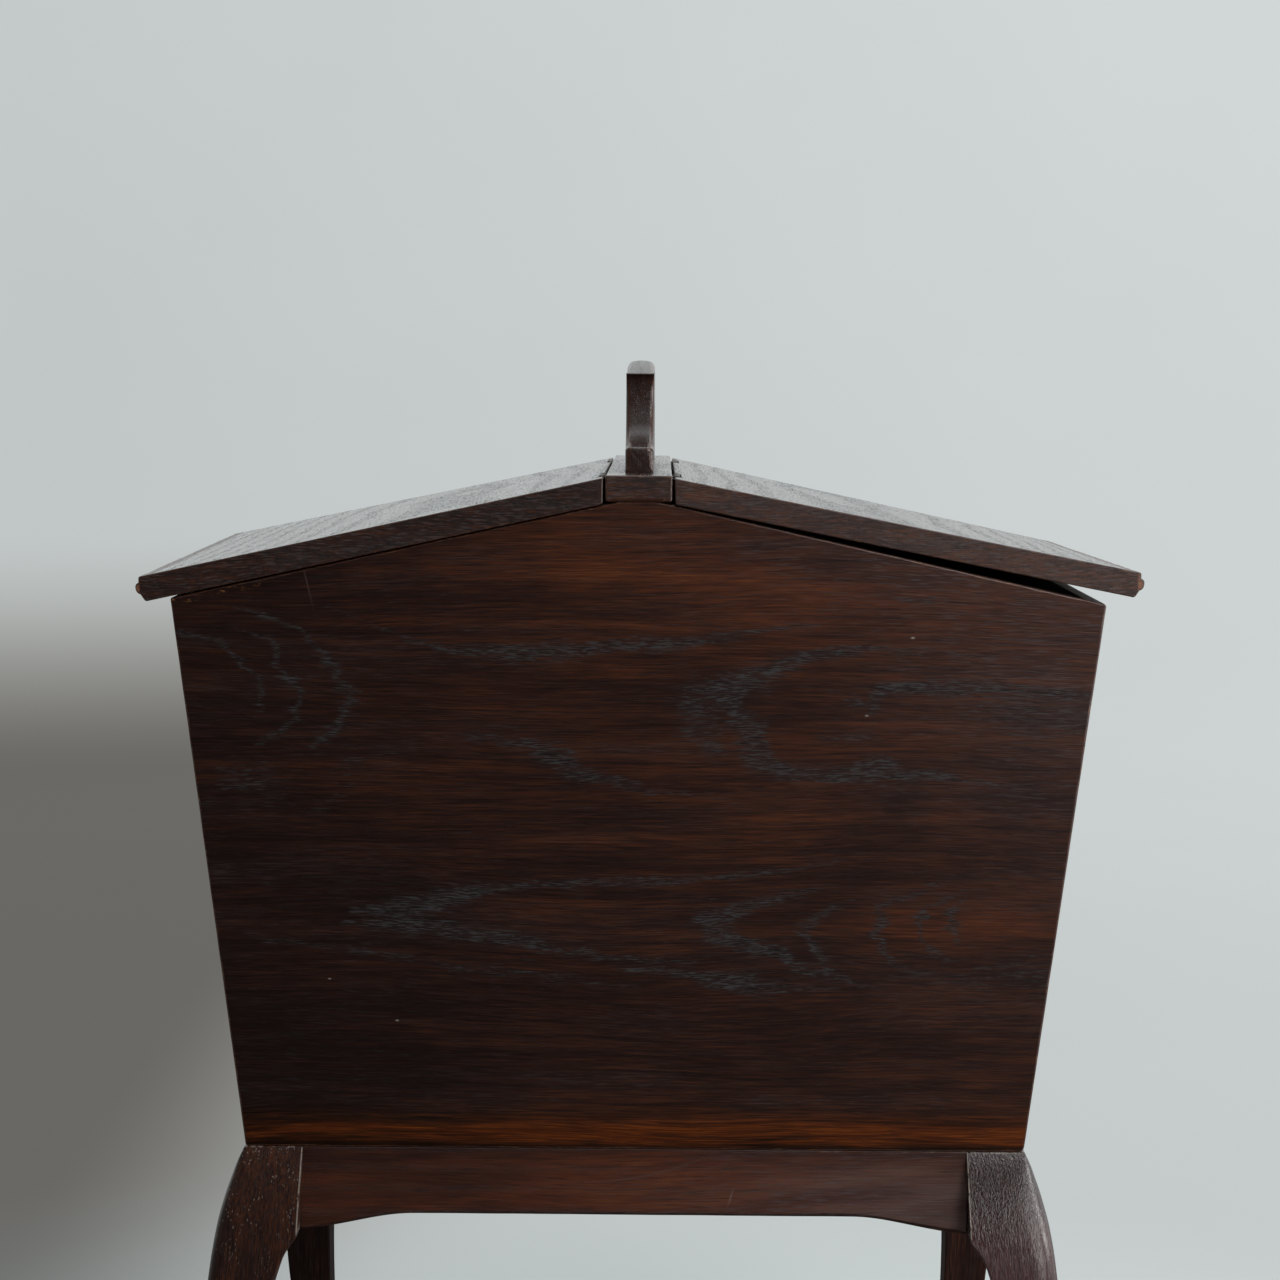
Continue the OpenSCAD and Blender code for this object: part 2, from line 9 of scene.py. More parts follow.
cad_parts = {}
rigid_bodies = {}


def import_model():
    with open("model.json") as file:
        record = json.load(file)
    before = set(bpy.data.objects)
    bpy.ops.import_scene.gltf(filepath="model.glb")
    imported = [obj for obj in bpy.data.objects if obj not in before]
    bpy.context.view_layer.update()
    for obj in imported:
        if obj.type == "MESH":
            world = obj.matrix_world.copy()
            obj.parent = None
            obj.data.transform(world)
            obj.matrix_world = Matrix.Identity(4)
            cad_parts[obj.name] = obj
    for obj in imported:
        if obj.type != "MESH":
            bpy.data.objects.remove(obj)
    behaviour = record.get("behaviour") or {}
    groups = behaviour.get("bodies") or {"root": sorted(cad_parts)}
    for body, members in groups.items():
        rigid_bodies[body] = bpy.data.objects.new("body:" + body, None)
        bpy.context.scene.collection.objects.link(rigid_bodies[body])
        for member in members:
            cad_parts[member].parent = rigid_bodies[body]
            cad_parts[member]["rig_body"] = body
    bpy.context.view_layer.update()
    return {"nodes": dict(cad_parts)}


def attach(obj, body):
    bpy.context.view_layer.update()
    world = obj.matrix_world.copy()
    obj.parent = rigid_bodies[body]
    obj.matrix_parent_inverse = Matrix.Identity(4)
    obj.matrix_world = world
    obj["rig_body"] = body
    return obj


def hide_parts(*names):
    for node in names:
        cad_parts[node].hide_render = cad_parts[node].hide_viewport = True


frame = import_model()
NODES = frame["nodes"]

# ---------------------------------------------------------------- sizes, mm
STAND = 240.0
BODY_Y = 142.0                      # outer faces of the end panels
INNER_Y = 132.0                     # inner faces of the end panels
REBATE_Y = 136.5                    # ends of the side boards, in the rebates
HW0, HW1, CORNER = 169.0, 200.0, 238.7
SLOPE = math.radians(12.5)
RUN = (HW1 - HW0) / CORNER
SIDE_X = 9.5 / math.cos(math.atan(RUN))
APEX_W = 16.6
APEX = STAND + CORNER + (HW1 - APEX_W / 2) * math.tan(SLOPE)
RIDGE_W, RIDGE_T, LID_LEN = 28.6, 11.2, 287.0
RIDGE_TOP = APEX + RIDGE_T
PIN_X = RIDGE_W / 2 + 1.6 + 0.5
PIN_Z = STAND + CORNER + (HW1 - PIN_X) * math.tan(SLOPE) + (0.4 + 11.0 - 1.4) / math.cos(SLOPE)
LID_T, LID_U = 11.0, 200.8
HINGE_Y, HINGE_LEN = 98.0, 38.0
STAND_X, STAND_Y, BLOCK = 169.4, 142.3, 25.2
HANDLE_L, HANDLE_H, HANDLE_T = 113.0, 49.0, 12.4


def inner_x(h):
    return HW0 + RUN * h - SIDE_X


ROOF_IN_X = (HW0 - SIDE_X + RUN * (CORNER + HW1 * math.tan(SLOPE))) / (1 + RUN * math.tan(SLOPE))


# ---------------------------------------------------------------- shader graphs
class E:
    """A value in a shader graph, with arithmetic."""

    def __init__(self, g, s):
        self.g, self.s = g, s

    def __add__(self, o): return self.g.math("ADD", self, o)
    def __radd__(self, o): return self.g.math("ADD", o, self)
    def __sub__(self, o): return self.g.math("SUBTRACT", self, o)
    def __rsub__(self, o): return self.g.math("SUBTRACT", o, self)
    def __mul__(self, o): return self.g.math("MULTIPLY", self, o)
    def __rmul__(self, o): return self.g.math("MULTIPLY", o, self)
    def __truediv__(self, o): return self.g.math("DIVIDE", self, o)
    def __neg__(self): return self.g.math("MULTIPLY", self, -1.0)
    def __pow__(self, o): return self.g.math("POWER", self, o)
    def abs(self): return self.g.math("ABSOLUTE", self)
    def sqrt(self): return self.g.math("SQRT", self)
    def fract(self): return self.g.math("FRACT", self)
    def floor(self): return self.g.math("FLOOR", self)
    def sin(self): return self.g.math("SINE", self)
    def exp(self): return self.g.math("EXPONENT", self)
    def min(self, o): return self.g.math("MINIMUM", self, o)
    def max(self, o): return self.g.math("MAXIMUM", self, o)
    def clamp(self): return self.g.math("ADD", self, 0.0, clamp=True)
    def bell(self, width): return (-((self / width) * (self / width))).exp()


class Graph:
    def __init__(self, tree):
        self.tree = tree

    def put(self, value, socket):
        if isinstance(value, E):
            self.tree.links.new(value.s, socket)
        elif socket.type == "RGBA" and len(value) == 3:
            socket.default_value = (*value, 1.0)
        else:
            socket.default_value = value

    def node(self, kind, inputs=None, **props):
        n = self.tree.nodes.new(kind)
        for k, v in props.items():
            setattr(n, k, v)
        for k, v in (inputs or {}).items():
            self.put(v, n.inputs[k])
        return n

    def math(self, op, *args, clamp=False):
        n = self.tree.nodes.new("ShaderNodeMath")
        n.operation, n.use_clamp = op, clamp
        for i, a in enumerate(args):
            self.put(a, n.inputs[i])
        return E(self, n.outputs[0])

    def vec(self, x, y, z):
        n = self.tree.nodes.new("ShaderNodeCombineXYZ")
        for i, a in enumerate((x, y, z)):
            self.put(a, n.inputs[i])
        return E(self, n.outputs[0])

    def split(self, v):
        n = self.node("ShaderNodeSeparateXYZ", {0: v})
        return [E(self, n.outputs[i]) for i in range(3)]

    def smooth(self, x, lo, hi):
        n = self.node("ShaderNodeMapRange", {"Value": x, "From Min": lo, "From Max": hi}, interpolation_type="SMOOTHSTEP")
        return E(self, n.outputs[0])

    def noise(self, v, detail=2.0, rough=0.5, distort=0.0):
        n = self.node("ShaderNodeTexNoise", {"Vector": v, "Scale": 1.0, "Detail": detail, "Roughness": rough, "Distortion": distort})
        return E(self, n.outputs[0])

    def voronoi(self, v, randomness=1.0):
        n = self.node("ShaderNodeTexVoronoi", {"Vector": v, "Scale": 1.0, "Randomness": randomness})
        return E(self, n.outputs[0])

    def mix(self, f, a, b):
        """Colours a to b by f."""
        n = self.node("ShaderNodeMix", data_type="RGBA", clamp_factor=True)
        self.put(f, n.inputs[0]); self.put(a, n.inputs[6]); self.put(b, n.inputs[7])
        return E(self, n.outputs[2])

    def times(self, a, b, f=1.0):
        n = self.node("ShaderNodeMix", data_type="RGBA", blend_type="MULTIPLY", clamp_factor=True)
        self.put(f, n.inputs[0]); self.put(a, n.inputs[6]); self.put(b, n.inputs[7])
        return E(self, n.outputs[2])

    def ramp(self, f, stops):
        n = self.node("ShaderNodeValToRGB", {0: f})
        e = n.color_ramp.elements
        while len(e) < len(stops):
            e.new(0.5)
        for i, (p, c) in enumerate(stops):
            e[i].position, e[i].color = p, (*c, 1.0)
        return E(self, n.outputs[0])

    def grey(self, v):
        """A value as a grey colour."""
        n = self.node("ShaderNodeCombineColor", {0: v, 1: v, 2: v})
        return E(self, n.outputs[0])


def group(name, inputs, outputs, build):
    """A node group with float inputs, made once. outputs has one letter per output: v for a value, c for a colour."""
    t = bpy.data.node_groups.new(name, "ShaderNodeTree")
    for n in inputs.split():
        t.interface.new_socket(name=n, in_out="INPUT", socket_type="NodeSocketFloat")
    for i, k in enumerate(outputs):
        t.interface.new_socket(name=f"out{i}", in_out="OUTPUT", socket_type="NodeSocketFloat" if k == "v" else "NodeSocketColor")
    gi, go = t.nodes.new("NodeGroupInput"), t.nodes.new("NodeGroupOutput")
    g = Graph(t)
    got = build(g, *[E(g, gi.outputs[i]) for i in range(len(inputs.split()))])
    for i, v in enumerate(got):
        g.put(v, go.inputs[i])
    return t


def call(g, tree, *args):
    n = g.tree.nodes.new("ShaderNodeGroup")
    n.node_tree = tree
    for i, a in enumerate(args):
        g.put(a, n.inputs[i])
    got = [E(g, n.outputs[i]) for i in range(len(tree.interface.items_tree) - len(args))]
    return got[0] if len(got) == 1 else got


def new_material(name, view_colour):
    m = bpy.data.materials.new(name)
    m.use_nodes = True
    m.diffuse_color = (*view_colour, 1)
    t = m.node_tree
    t.nodes.clear()
    out = t.nodes.new("ShaderNodeOutputMaterial")
    p = t.nodes.new("ShaderNodeBsdfPrincipled")
    t.links.new(p.outputs[0], out.inputs[0])
    return m, Graph(t), p


def place_mm(g):
    """X, Y and Z in the object's own frame, in millimetres."""
    tc = g.node("ShaderNodeTexCoord")
    n = g.node("ShaderNodeVectorMath", operation="SCALE")
    g.put(E(g, tc.outputs["Object"]), n.inputs[0])
    n.inputs["Scale"].default_value = 1000.0
    v = E(g, n.outputs[0])
    return v, *g.split(v)


def finish_shader(g, p, colour, rough, height, specular=0.5, metallic=0.0, strength=1.0):
    g.put(colour, p.inputs["Base Color"])
    g.put(rough, p.inputs["Roughness"])
    p.inputs["Specular IOR Level"].default_value = specular
    p.inputs["Metallic"].default_value = metallic
    if height is not None:
        b = g.node("ShaderNodeBump", {"Height": height, "Distance": 0.001, "Strength": strength})
        g.put(E(g, b.outputs[0]), p.inputs["Normal"])


# ---------------------------------------------------------------- wood
DARK = (0.0090, 0.0041, 0.0031)
PLUM = (0.0195, 0.0072, 0.0050)
BROWN = (0.0375, 0.0120, 0.0058)
RED = (0.0740, 0.0210, 0.0076)
ORANGE = (0.1450, 0.0440, 0.0085)
PORE = (0.0050, 0.0034, 0.0034)
# the figure's own darker colour, with a grey cast that is painted reflection
FIGURE_DARK_AND_REFLECTION = (0.0165, 0.0108, 0.0105)
PAINTED_PORE_SHEEN = (0.0620, 0.0480, 0.0480)      # painted sheen: light caught by the filled pores, painted into the colour
PAINTED_FIGURE_GLINT = (0.0430, 0.0410, 0.0425)     # painted glints: cool reflections on the pores of the figure, painted into the colour
BARE = (0.2300, 0.1150, 0.0600)      # where the stain is worn off


def _grain(g, l, a, b, s, pa, pb, ring, bands):
    # slow wander of the fibres, so that rings and streaks are never quite straight
    wander = g.noise(g.vec(l / 210.0 + s, a / 70.0, b / 70.0), 1.0) - 0.5
    small = g.noise(g.vec(l / 48.0 + s, a / 20.0 + 7.0, b / 20.0), 1.0) - 0.5
    aw = a + wander * 15.0 + small * 0.9
    bw = b + wander * 7.0
    blotch = g.noise(g.vec(l / 70.0 + s, aw / 19.0, bw / 19.0), 3.0, 0.60) - 0.5
    streak = g.noise(g.vec(l / 120.0 + s, aw / 3.0, bw / 3.0), 3.0, 0.62) - 0.5
    fibre = g.noise(g.vec(l / 24.0 + s, aw / 0.64, bw / 0.64), 2.0, 0.7) - 0.5
    fine = g.noise(g.vec(l / 12.0 + s, aw / 0.62, bw / 0.62), 1.0, 0.55)
    lit = g.noise(g.vec(l / 10.0 + s + 31.0, aw / 0.62, bw / 0.62), 1.0, 0.55)
    dash = g.noise(g.vec(l / 5.0 + s + 57.0, aw / 0.52, bw / 0.52), 1.0, 0.6)
    da, db = aw - pa, bw - pb
    r = (da * da + db * db).sqrt() / ring + (g.noise(g.vec(l / 260.0 + s, 3.0, 1.0), 2.0) - 0.5) * 2.6
    f = r.fract()
    early = g.smooth(f, 0.0, 0.10) * (1.0 - g.smooth(f, 0.24, 0.52))
    late = g.smooth(f, 0.62, 0.95) * (1.0 - g.smooth(f, 0.965, 1.0))
    return aw, blotch, streak, fibre, fine, lit, early * bands, late, small, dash


def _stain(g, t, band, fine, lit, haze, dense0, dash):
    colour = g.ramp(t, [(0.10, DARK), (0.30, PLUM), (0.46, BROWN), (0.68, RED), (0.96, ORANGE)])
    pores = g.smooth(fine, 0.545, 0.65)
    dense = (dense0 + band * 0.55).min(1.0)
    # painted sheen: the colour is lightened towards pale grey
    colour = g.mix(haze * 0.55, colour, (0.046, 0.0310, 0.0300))
    # the figure: its own darker colour, its grey cast painted reflection
    colour = g.mix(band * 0.70, colour, FIGURE_DARK_AND_REFLECTION)
    colour = g.mix(pores * dense * 0.80, colour, PORE)
    shine = g.smooth(lit, 0.54, 0.66)
    # painted highlights: lit pores painted pale, as far as the painted sheen reaches
    colour = g.mix(shine * haze, colour, PAINTED_PORE_SHEEN)
    # painted glints: cool grey dashes along the figure
    colour = g.mix(g.smooth(dash, 0.48, 0.63) * band * 0.78, colour, PAINTED_FIGURE_GLINT)
    return colour, pores * dense, shine


GRAIN = group("grain", "l a b seed pith_a pith_b ring bands", "vvvvvvvvvv", _grain)
STAIN = group("stain", "t band fine lit haze dense dash", "cvv", _stain)


# the sheen amount passed in is painted sheen: it lightens the colour and paints highlights on lit pores
def wood(name, axis, seed, pith=(60.0, -140.0), ring=6.5, tone=0.0, contrast=1.0, relief=1.0,
         gloss=0.34, wear=0.0, end=False, haze=0.06, follow=None, specular=0.5, extra=None, bands=0.5, dull=0.0, dense=0.42, coat=0.0, fib=1.0):
    """Dark stained open-grained wood as a solid texture. axis is the grain's direction. pith is where the
    tree's middle lies across the grain, ring the width of a growth ring in mm."""
    m, g, p = new_material(name, (0.09, 0.045, 0.032))
    v, x, y, z = place_mm(g)
    l, a, b = {"X": (x, z, y), "Y": (y, x, z), "Z": (z, x, y)}[axis]
    if follow:
        # the grain goes with the sweep of the leg
        sweep = 18.5 - ((z - 240.0) / 32.0).exp() * 18.5
        a, b = a - sweep * follow[0], b - sweep * follow[1]
    if end:
        l = l * 1.9
    s = seed * 17.3
    aw, blotch, streak, fibre, fine, lit, band, late, small, dash = call(g, GRAIN, l, a, b, s, pith[0], pith[1], ring, bands)
    q = {"v": v, "x": x, "y": y, "z": z, "l": l, "a": a, "b": b, "aw": aw, "streak": streak, "fibre": fibre, "blotch": blotch,
         "fine": fine, "lit": lit, "band": band, "tone": 0.0, "cover": None, "tint": None, "height": 0.0, "rough": 0.0, "haze": haze, "dash": dash}
    if extra:
        extra(g, q)
    band = q["band"]
    t = streak * (0.44 * contrast) + blotch * (0.72 * contrast) + fibre * (0.90 * fib) - late * 0.09 * contrast + (0.40 + tone)
    if not isinstance(q["tone"], float):
        t = t + q["tone"]
    colour, pores, shine = call(g, STAIN, t, band, fine, lit, q["haze"], dense, dash)
    height = fibre * 0.020 * relief + blotch * 0.05 - pores * 0.060 * relief + small * 0.04
    rough = fibre * (0.10 * relief) + band * 0.06 + pores * (0.10 * relief * relief + 0.08) + blotch * 0.06 + gloss
    if end:
        # end grain: darker, matt, open pores as specks and faint saw marks across, with painted highlights on the lit
        # pores
        saw = g.noise(g.vec(x / 24.0, z / 24.0, y / 0.5 + x / 1.3 + s), 1.0) - 0.5
        mottle = g.noise(g.vec(x / 3.4 + s, y / 1.2, z / 1.3), 3.0, 0.72)
        colour = g.times(colour, (0.66, 0.62, 0.60))
        colour = g.mix(g.smooth(mottle, 0.52, 0.70) * 0.45, colour, RED)
        colour = g.mix(g.smooth(mottle, 0.47, 0.34) * 0.70, colour, DARK)
        colour = g.mix(shine * 0.45, colour, PAINTED_PORE_SHEEN)
        height = height * 1.5 + saw * 0.03
        rough = rough + 0.10 - (mottle - 0.5) * 0.3
    if wear:
        edge = g.noise(g.vec(x / 3.4 + s, y / 3.4, z / 3.4), 3.0, 0.65)
        rub = g.smooth(edge, 0.50, 0.74) * wear
        colour = g.mix(rub * 0.60, colour, BARE)
        colour = g.mix(0.30 * wear, colour, RED)
    if dull:
        colour = g.mix((blotch + 0.55) * dull, colour, (0.030, 0.026, 0.024))
        rough = rough + dull * 0.12
    if q["tint"] is not None:
        colour = g.mix(q["tint"][0], colour, g.times(colour, q["tint"][1]))
    if q["cover"] is not None:
        for mask, c in q["cover"]:
            colour = g.mix(mask, colour, c)
    if not isinstance(q["height"], float):
        height = height + q["height"]
    if not isinstance(q["rough"], float) or q["rough"]:
        rough = rough + q["rough"]
    rough = rough.max(0.15).min(0.85)
    finish_shader(g, p, colour, rough, height, specular)
    if coat:
        p.inputs["Coat Weight"].default_value = coat
        p.inputs["Coat Roughness"].default_value = 0.16
        p.inputs["Coat IOR"].default_value = 1.5
    return m


def attribute(g, name):
    n = g.node("ShaderNodeAttribute", attribute_name=name)
    return E(g, n.outputs["Fac"])


def figured(marks=None):
    """Figure, ground tone with its painted light and shade, and painted sheen come from the mesh, where they are worked
    out point by point.
    """
    def extra(g, q):
        ragged = g.noise(g.vec(q["l"] / 13.0 + 3.0, q["b"] / 9.0, q["aw"] / 0.9), 2.0, 0.65)
        q["band"] = g.smooth(attribute(g, "figure") + (ragged - 0.5) * 1.6, 0.06, 0.84).max(q["band"] * 0.12)
        foot = g.smooth(q["z"], 263.0, 247.0)
        q["tone"] = attribute(g, "ground") + foot * (q["streak"] * 0.50 + q["fibre"] * 0.35)
        # painted sheen, as worked out on the mesh
        q["haze"] = attribute(g, "sheen")
        q["tint"] = (foot, (0.93, 0.70, 0.34))
        if marks:
            marks(g, q)
    return extra


def front_marks(g, q):
    """Worn top left corner, and a scratch."""
    gx, gz = q["x"], q["z"]
    crumb = g.smooth(g.noise(g.vec(gx / 5.0, 1.0, gz / 1.5), 3.0, 0.7), 0.55, 0.66)
    line = (gz - (240.0 + CORNER) - (gx + HW1) * math.tan(SLOPE))
    corner = g.smooth(line, -5.0, -0.6) * g.smooth(gx, -150.0, -175.0)
    worn = (crumb * corner).clamp()
    nick = 0.0
    for nx, nz, w in ((117.5, 463.9, 0.36), (195.5, 430.8, 0.34), (-103.0, 296.0, 0.30), (-132.2, 314.1, 0.26), (98.3, 430.3, 0.30)):
        nick = (gx - nx).bell(w * 2.0) * (gz - nz).bell(w) + nick
    scratch = (((gz - 484.0) + (gx + 141.0) * 4.2) / 4.3).bell(0.28) * (gz - 486.0).bell(9.0)
    q["cover"] = [(worn * 0.85, (0.23, 0.095, 0.035)), (nick.clamp(), (0.26, 0.22, 0.20)), (scratch * 0.55, (0.07, 0.05, 0.048))]


def bead_end(g, q):
    """Bare wood on the ends of the eave beads."""
    q["cover"] = [(g.smooth(q["x"].abs(), 212.4, 213.3) * g.smooth(q["fine"], 0.30, 0.55) * 0.85, (0.20, 0.085, 0.045))]


def painted_lit_top_edge(g, q):
    """The upper edge of a side board, painted pale grey for light falling on it through the gap under the lid."""
    line = q["z"] - (240.0 + CORNER) - (HW1 - q["x"].abs()) * math.tan(SLOPE)
    q["cover"] = [(g.smooth(line, -1.6, -0.7) * (q["fibre"] * 0.8 + 0.75).clamp(), (0.34, 0.33, 0.31))]


# ---------------------------------------------------------------- figures, point by point
def smooth01(v, lo, hi):
    t = np.clip((v - lo) / (hi - lo), 0.0, 1.0)
    return t * t * (3 - 2 * t)


def np_stroke(x, z, x0, z0, slope, bend, half, width):
    """A long streak about (x0, z0): its line rises by slope and bends, and it fades at half its length."""
    dx = x - x0
    dz = z - z0 - dx * slope - dx * dx * bend
    return np.exp(-(dz / width) ** 2) * np.exp(-(dx / half) ** 4)


def np_curl(x, z, x0, z0, k, side, width, window):
    """One contour of a cathedral: a parabola with its tip at (x0, z0) that opens to side (+1 right, -1 left)."""
    dx, dz = (x - x0) * side, z - z0
    w = width + np.abs(dz) * k * width * 1.8
    return np.exp(-((dx - dz * dz * k) / w) ** 2) * np.exp(-(dz / window) ** 4)


def np_trail(x, z, points):
    """A soft band along the points (x, z, width, strength)."""
    total = np.zeros(len(x))
    for (ax, az, w0, l0), (bx, bz, w1, l1) in zip(points, points[1:]):
        ux, uz = bx - ax, bz - az
        t = np.clip(((x - ax) * ux + (z - az) * uz) / (ux * ux + uz * uz), 0, 1)
        d2 = (x - ax - t * ux) ** 2 + (z - az - t * uz) ** 2
        total = np.maximum(total, np.exp(-d2 / (1.35 * (w0 + t * (w1 - w0))) ** 2) * (l0 + t * (l1 - l0)))
    return total


def field(u, v, su, sv, seed, octaves=2):
    """Smooth seeded noise about 0 on a plane."""
    out = np.zeros(len(u))
    amp, k = 0.62, 1.0
    for i in range(octaves):
        table = np.random.default_rng(int(seed * 100) + i).random((256, 256)) * 2 - 1
        a, b = u * k / su + 40.0, v * k / sv + 40.0
        ia, ib = np.floor(a).astype(int), np.floor(b).astype(int)
        fa, fb = a - ia, b - ib
        fa, fb = fa * fa * (3 - 2 * fa), fb * fb * (3 - 2 * fb)
        t00, t10 = table[ia % 256, ib % 256], table[(ia + 1) % 256, ib % 256]
        t01, t11 = table[ia % 256, (ib + 1) % 256], table[(ia + 1) % 256, (ib + 1) % 256]
        out += amp * ((t00 * (1 - fa) + t10 * fa) * (1 - fb) + (t01 * (1 - fa) + t11 * fa) * fb)
        amp, k = amp * 0.5, k * 2.1
    return out


def front_figure(x0, z0):
    """The figure of the front panel: streaks, a knot with its loop, and cathedrals, each listed one by one."""
    n1 = field(x0, z0, 26.0, 11.0, 4.0)
    n2 = field(x0, z0, 7.0, 2.6, 9.0, 1)
    x = x0 + n1 * 4.5 + n2 * 5.5
    z = z0 + n1 * 1.8 + n2 * 0.8
    bands = [
        # nested arcs at the left, opening left
        [(-198, 466, 0.9, 0.7), (-176, 459.5, 1.0, 0.75), (-167, 449, 1.2, 0.8), (-158, 438, 1.3, 0.75), (-163, 429, 1.2, 0.6)],
        [(-172, 467, 0.9, 0.7), (-157, 457, 1.1, 0.8), (-151, 445, 1.3, 0.8), (-143, 438, 1.6, 0.9), (-147, 427, 1.3, 0.8), (-160, 416, 1.2, 0.6)],
        [(-168, 476, 0.9, 0.7), (-144, 465, 1.2, 0.8), (-134, 452.5, 1.6, 0.85), (-122, 438, 2.0, 0.9), (-124, 425.5, 1.8, 0.85), (-139, 416, 1.2, 0.7)],
        [(-100, 417, 2.0, 0.22), (-124, 408, 2.4, 0.35), (-127, 395, 2.4, 0.35), (-140, 385, 2.0, 0.25)],
        [(-176, 401, 6.0, 0.40), (-160, 399, 6.0, 0.50)],
        # streaks across the upper half
        [(-132, 476, 0.8, 0.3), (-108, 467, 1.0, 0.4), (-80, 456.5, 1.6, 0.8), (-33, 457, 2.7, 1.0), (8, 460.5, 2.3, 0.9), (26, 462, 1.7, 0.75), (57, 467, 1.4, 0.6), (92, 472, 1.0, 0.3)],
        [(-72, 421, 1.2, 0.4), (-50, 416.5, 2.2, 0.75), (-34, 412, 4.2, 0.95), (-20, 404, 2.6, 0.6), (10, 397.5, 1.4, 0.5), (44, 394, 1.1, 0.25)],
        # the loop round the knot, opening right, with a wide soft tip
        [(150, 455, 1.0, 0.35), (128, 457, 1.4, 0.55), (100, 459, 1.7, 0.7), (78, 457, 2.2, 0.85), (61, 451, 3.0, 0.95), (48, 445, 4.5, 1.0),
         (38, 439, 6.0, 1.0), (42, 430, 5.0, 0.95), (53, 426, 3.0, 0.85), (47, 419, 4.5, 0.95), (49, 411, 4.0, 0.95), (65, 405, 2.8, 0.95),
         (86, 403.5, 2.6, 0.95), (104, 407, 4.6, 1.0), (114, 404, 2.2, 0.85), (140, 402.5, 1.2, 0.7), (186, 398.5, 1.1, 0.4)],
        [(26, 441, 5.0, 0.50), (24, 430, 6.0, 0.55), (34, 416, 5.0, 0.50)],
        # the streak that runs off the knot
        [(100, 431, 1.4, 0.7), (107, 441, 1.8, 1.0), (111, 446, 1.0, 0.6)],
        [(108, 444, 2.0, 0.9), (140, 442.5, 2.8, 0.8), (196, 438, 2.6, 0.6)],
        [(140, 434, 6.0, 0.25), (165, 432, 9.0, 0.42), (196, 430, 9.0, 0.42)],
        [(78, 421, 2.0, 0.3), (96, 420, 3.0, 0.45)],
        # long streaks across the middle
        [(-126, 343, 1.4, 0.5), (-103, 345, 3.4, 0.95), (-87, 348, 4.2, 1.0), (-64, 354, 1.8, 0.85), (-42, 355.5, 1.5, 0.8), (11, 358, 1.4, 0.75), (50, 361, 1.3, 0.65), (98, 370, 1.0, 0.3)],
        [(-124, 338.5, 1.4, 0.5), (-96, 338.5, 3.2, 0.9), (-80, 336, 2.4, 0.85), (-55, 332, 2.2, 0.85), (-41, 329, 2.0, 0.75), (-8, 324.5, 1.5, 0.6), (26, 322, 1.2, 0.4)],
        [(-180, 337, 1.0, 0.35), (-144, 330, 1.3, 0.5), (-95, 323.5, 1.5, 0.5), (-29, 314.5, 1.5, 0.45), (0, 311, 1.3, 0.25)],
        [(-8, 320, 1.5, 0.55), (24, 317.5, 2.0, 0.75), (46, 312, 3.4, 0.95), (58, 311, 2.2, 0.6), (90, 311, 1.3, 0.3)],
        # cathedrals opening right
        [(84, 357, 1.0, 0.4), (66, 352.5, 1.4, 0.65), (47, 346.5, 2.2, 0.9), (31, 340, 4.2, 1.0), (33, 335, 4.0, 1.0), (47, 330, 2.4, 0.9), (68, 321, 1.7, 0.8), (88, 317.5, 1.4, 0.6), (112, 309, 1.1, 0.35)],
        [(96, 351, 1.0, 0.4), (80, 345, 1.3, 0.65), (73, 338, 1.8, 0.85), (74, 332, 1.8, 0.85), (78, 325, 1.6, 0.8), (88, 317, 1.2, 0.5)],
        [(137, 361, 0.8, 0.4), (118, 353, 1.0, 0.65), (107, 347.5, 1.3, 0.8), (103, 341, 2.0, 0.95), (106, 332, 1.5, 0.85), (114, 324, 1.2, 0.7), (126, 319, 1.0, 0.4)],
        [(140, 354, 0.7, 0.35), (128, 349, 0.9, 0.65), (122.5, 343, 1.2, 0.8), (123, 337, 1.2, 0.8), (128, 330, 1.0, 0.7), (138, 323.5, 0.8, 0.35)],
        [(140, 352, 0.8, 0.5), (136, 345, 1.2, 0.8), (137, 338, 1.2, 0.8), (141, 331, 0.9, 0.5)],
        # small grey strokes
        [(112, 481.5, 1.2, 0.5), (126, 481, 1.2, 0.5)],
        [(161, 479.2, 1.1, 0.4), (178, 479.2, 1.1, 0.4)],
        [(128, 318, 5.0, 0.25), (170, 318, 7.0, 0.4), (192, 320, 7.0, 0.35)],
    ]
    band = np.zeros(len(x))
    for t in bands:
        band = np.maximum(band, np_trail(x, z, t))
    kr = np.sqrt((x - 95.0) ** 2 * 0.50 + (z - 437.0) ** 2)
    band = np.maximum(band, (np.sin((kr + n1 * 2.0) / 1.25) * 0.5 + 0.5) * np.exp(-(kr / 9.0) ** 2) * 0.60)
    # colour of the ground, with painted light and shade: darker to the left, lighter to the right and on the upper
    # part, darker on the lower part above the foot band, and a painted shadow line along the foot
    top = np_stroke(x, z, 15.0, 487.5, -0.08, 0.0, 95.0, 9.0)
    foot = smooth01(-z0, -260.0, -246.0)
    rows = field(x0, z0, 120.0, 2.6, 31.0)
    plum = smooth01(-x0, 20.0, 120.0) * smooth01(z0, 430.0, 500.0)
    inside = np_stroke(x, z, 132.0, 343.0, 0.05, 0.0, 42.0, 10.0)
    finger = np_stroke(x, z, -55.0, 345.0, 0.0, 0.0, 40.0, 6.0)
    mid = np_stroke(x, z, -70.0, 440.0, 0.0, 0.0, 60.0, 26.0)
    nest = np_stroke(x, z, 110.0, 425.0, 0.0, 0.0, 62.0, 15.0)
    stain = np.exp(-(((x0 - 115.0) * 0.85 + (z0 - 394.0) * 0.55) / 17.0) ** 2) * np.exp(-(((z0 - 394.0) * 0.80 - (x0 - 115.0) * 0.62) / 9.0) ** 2)
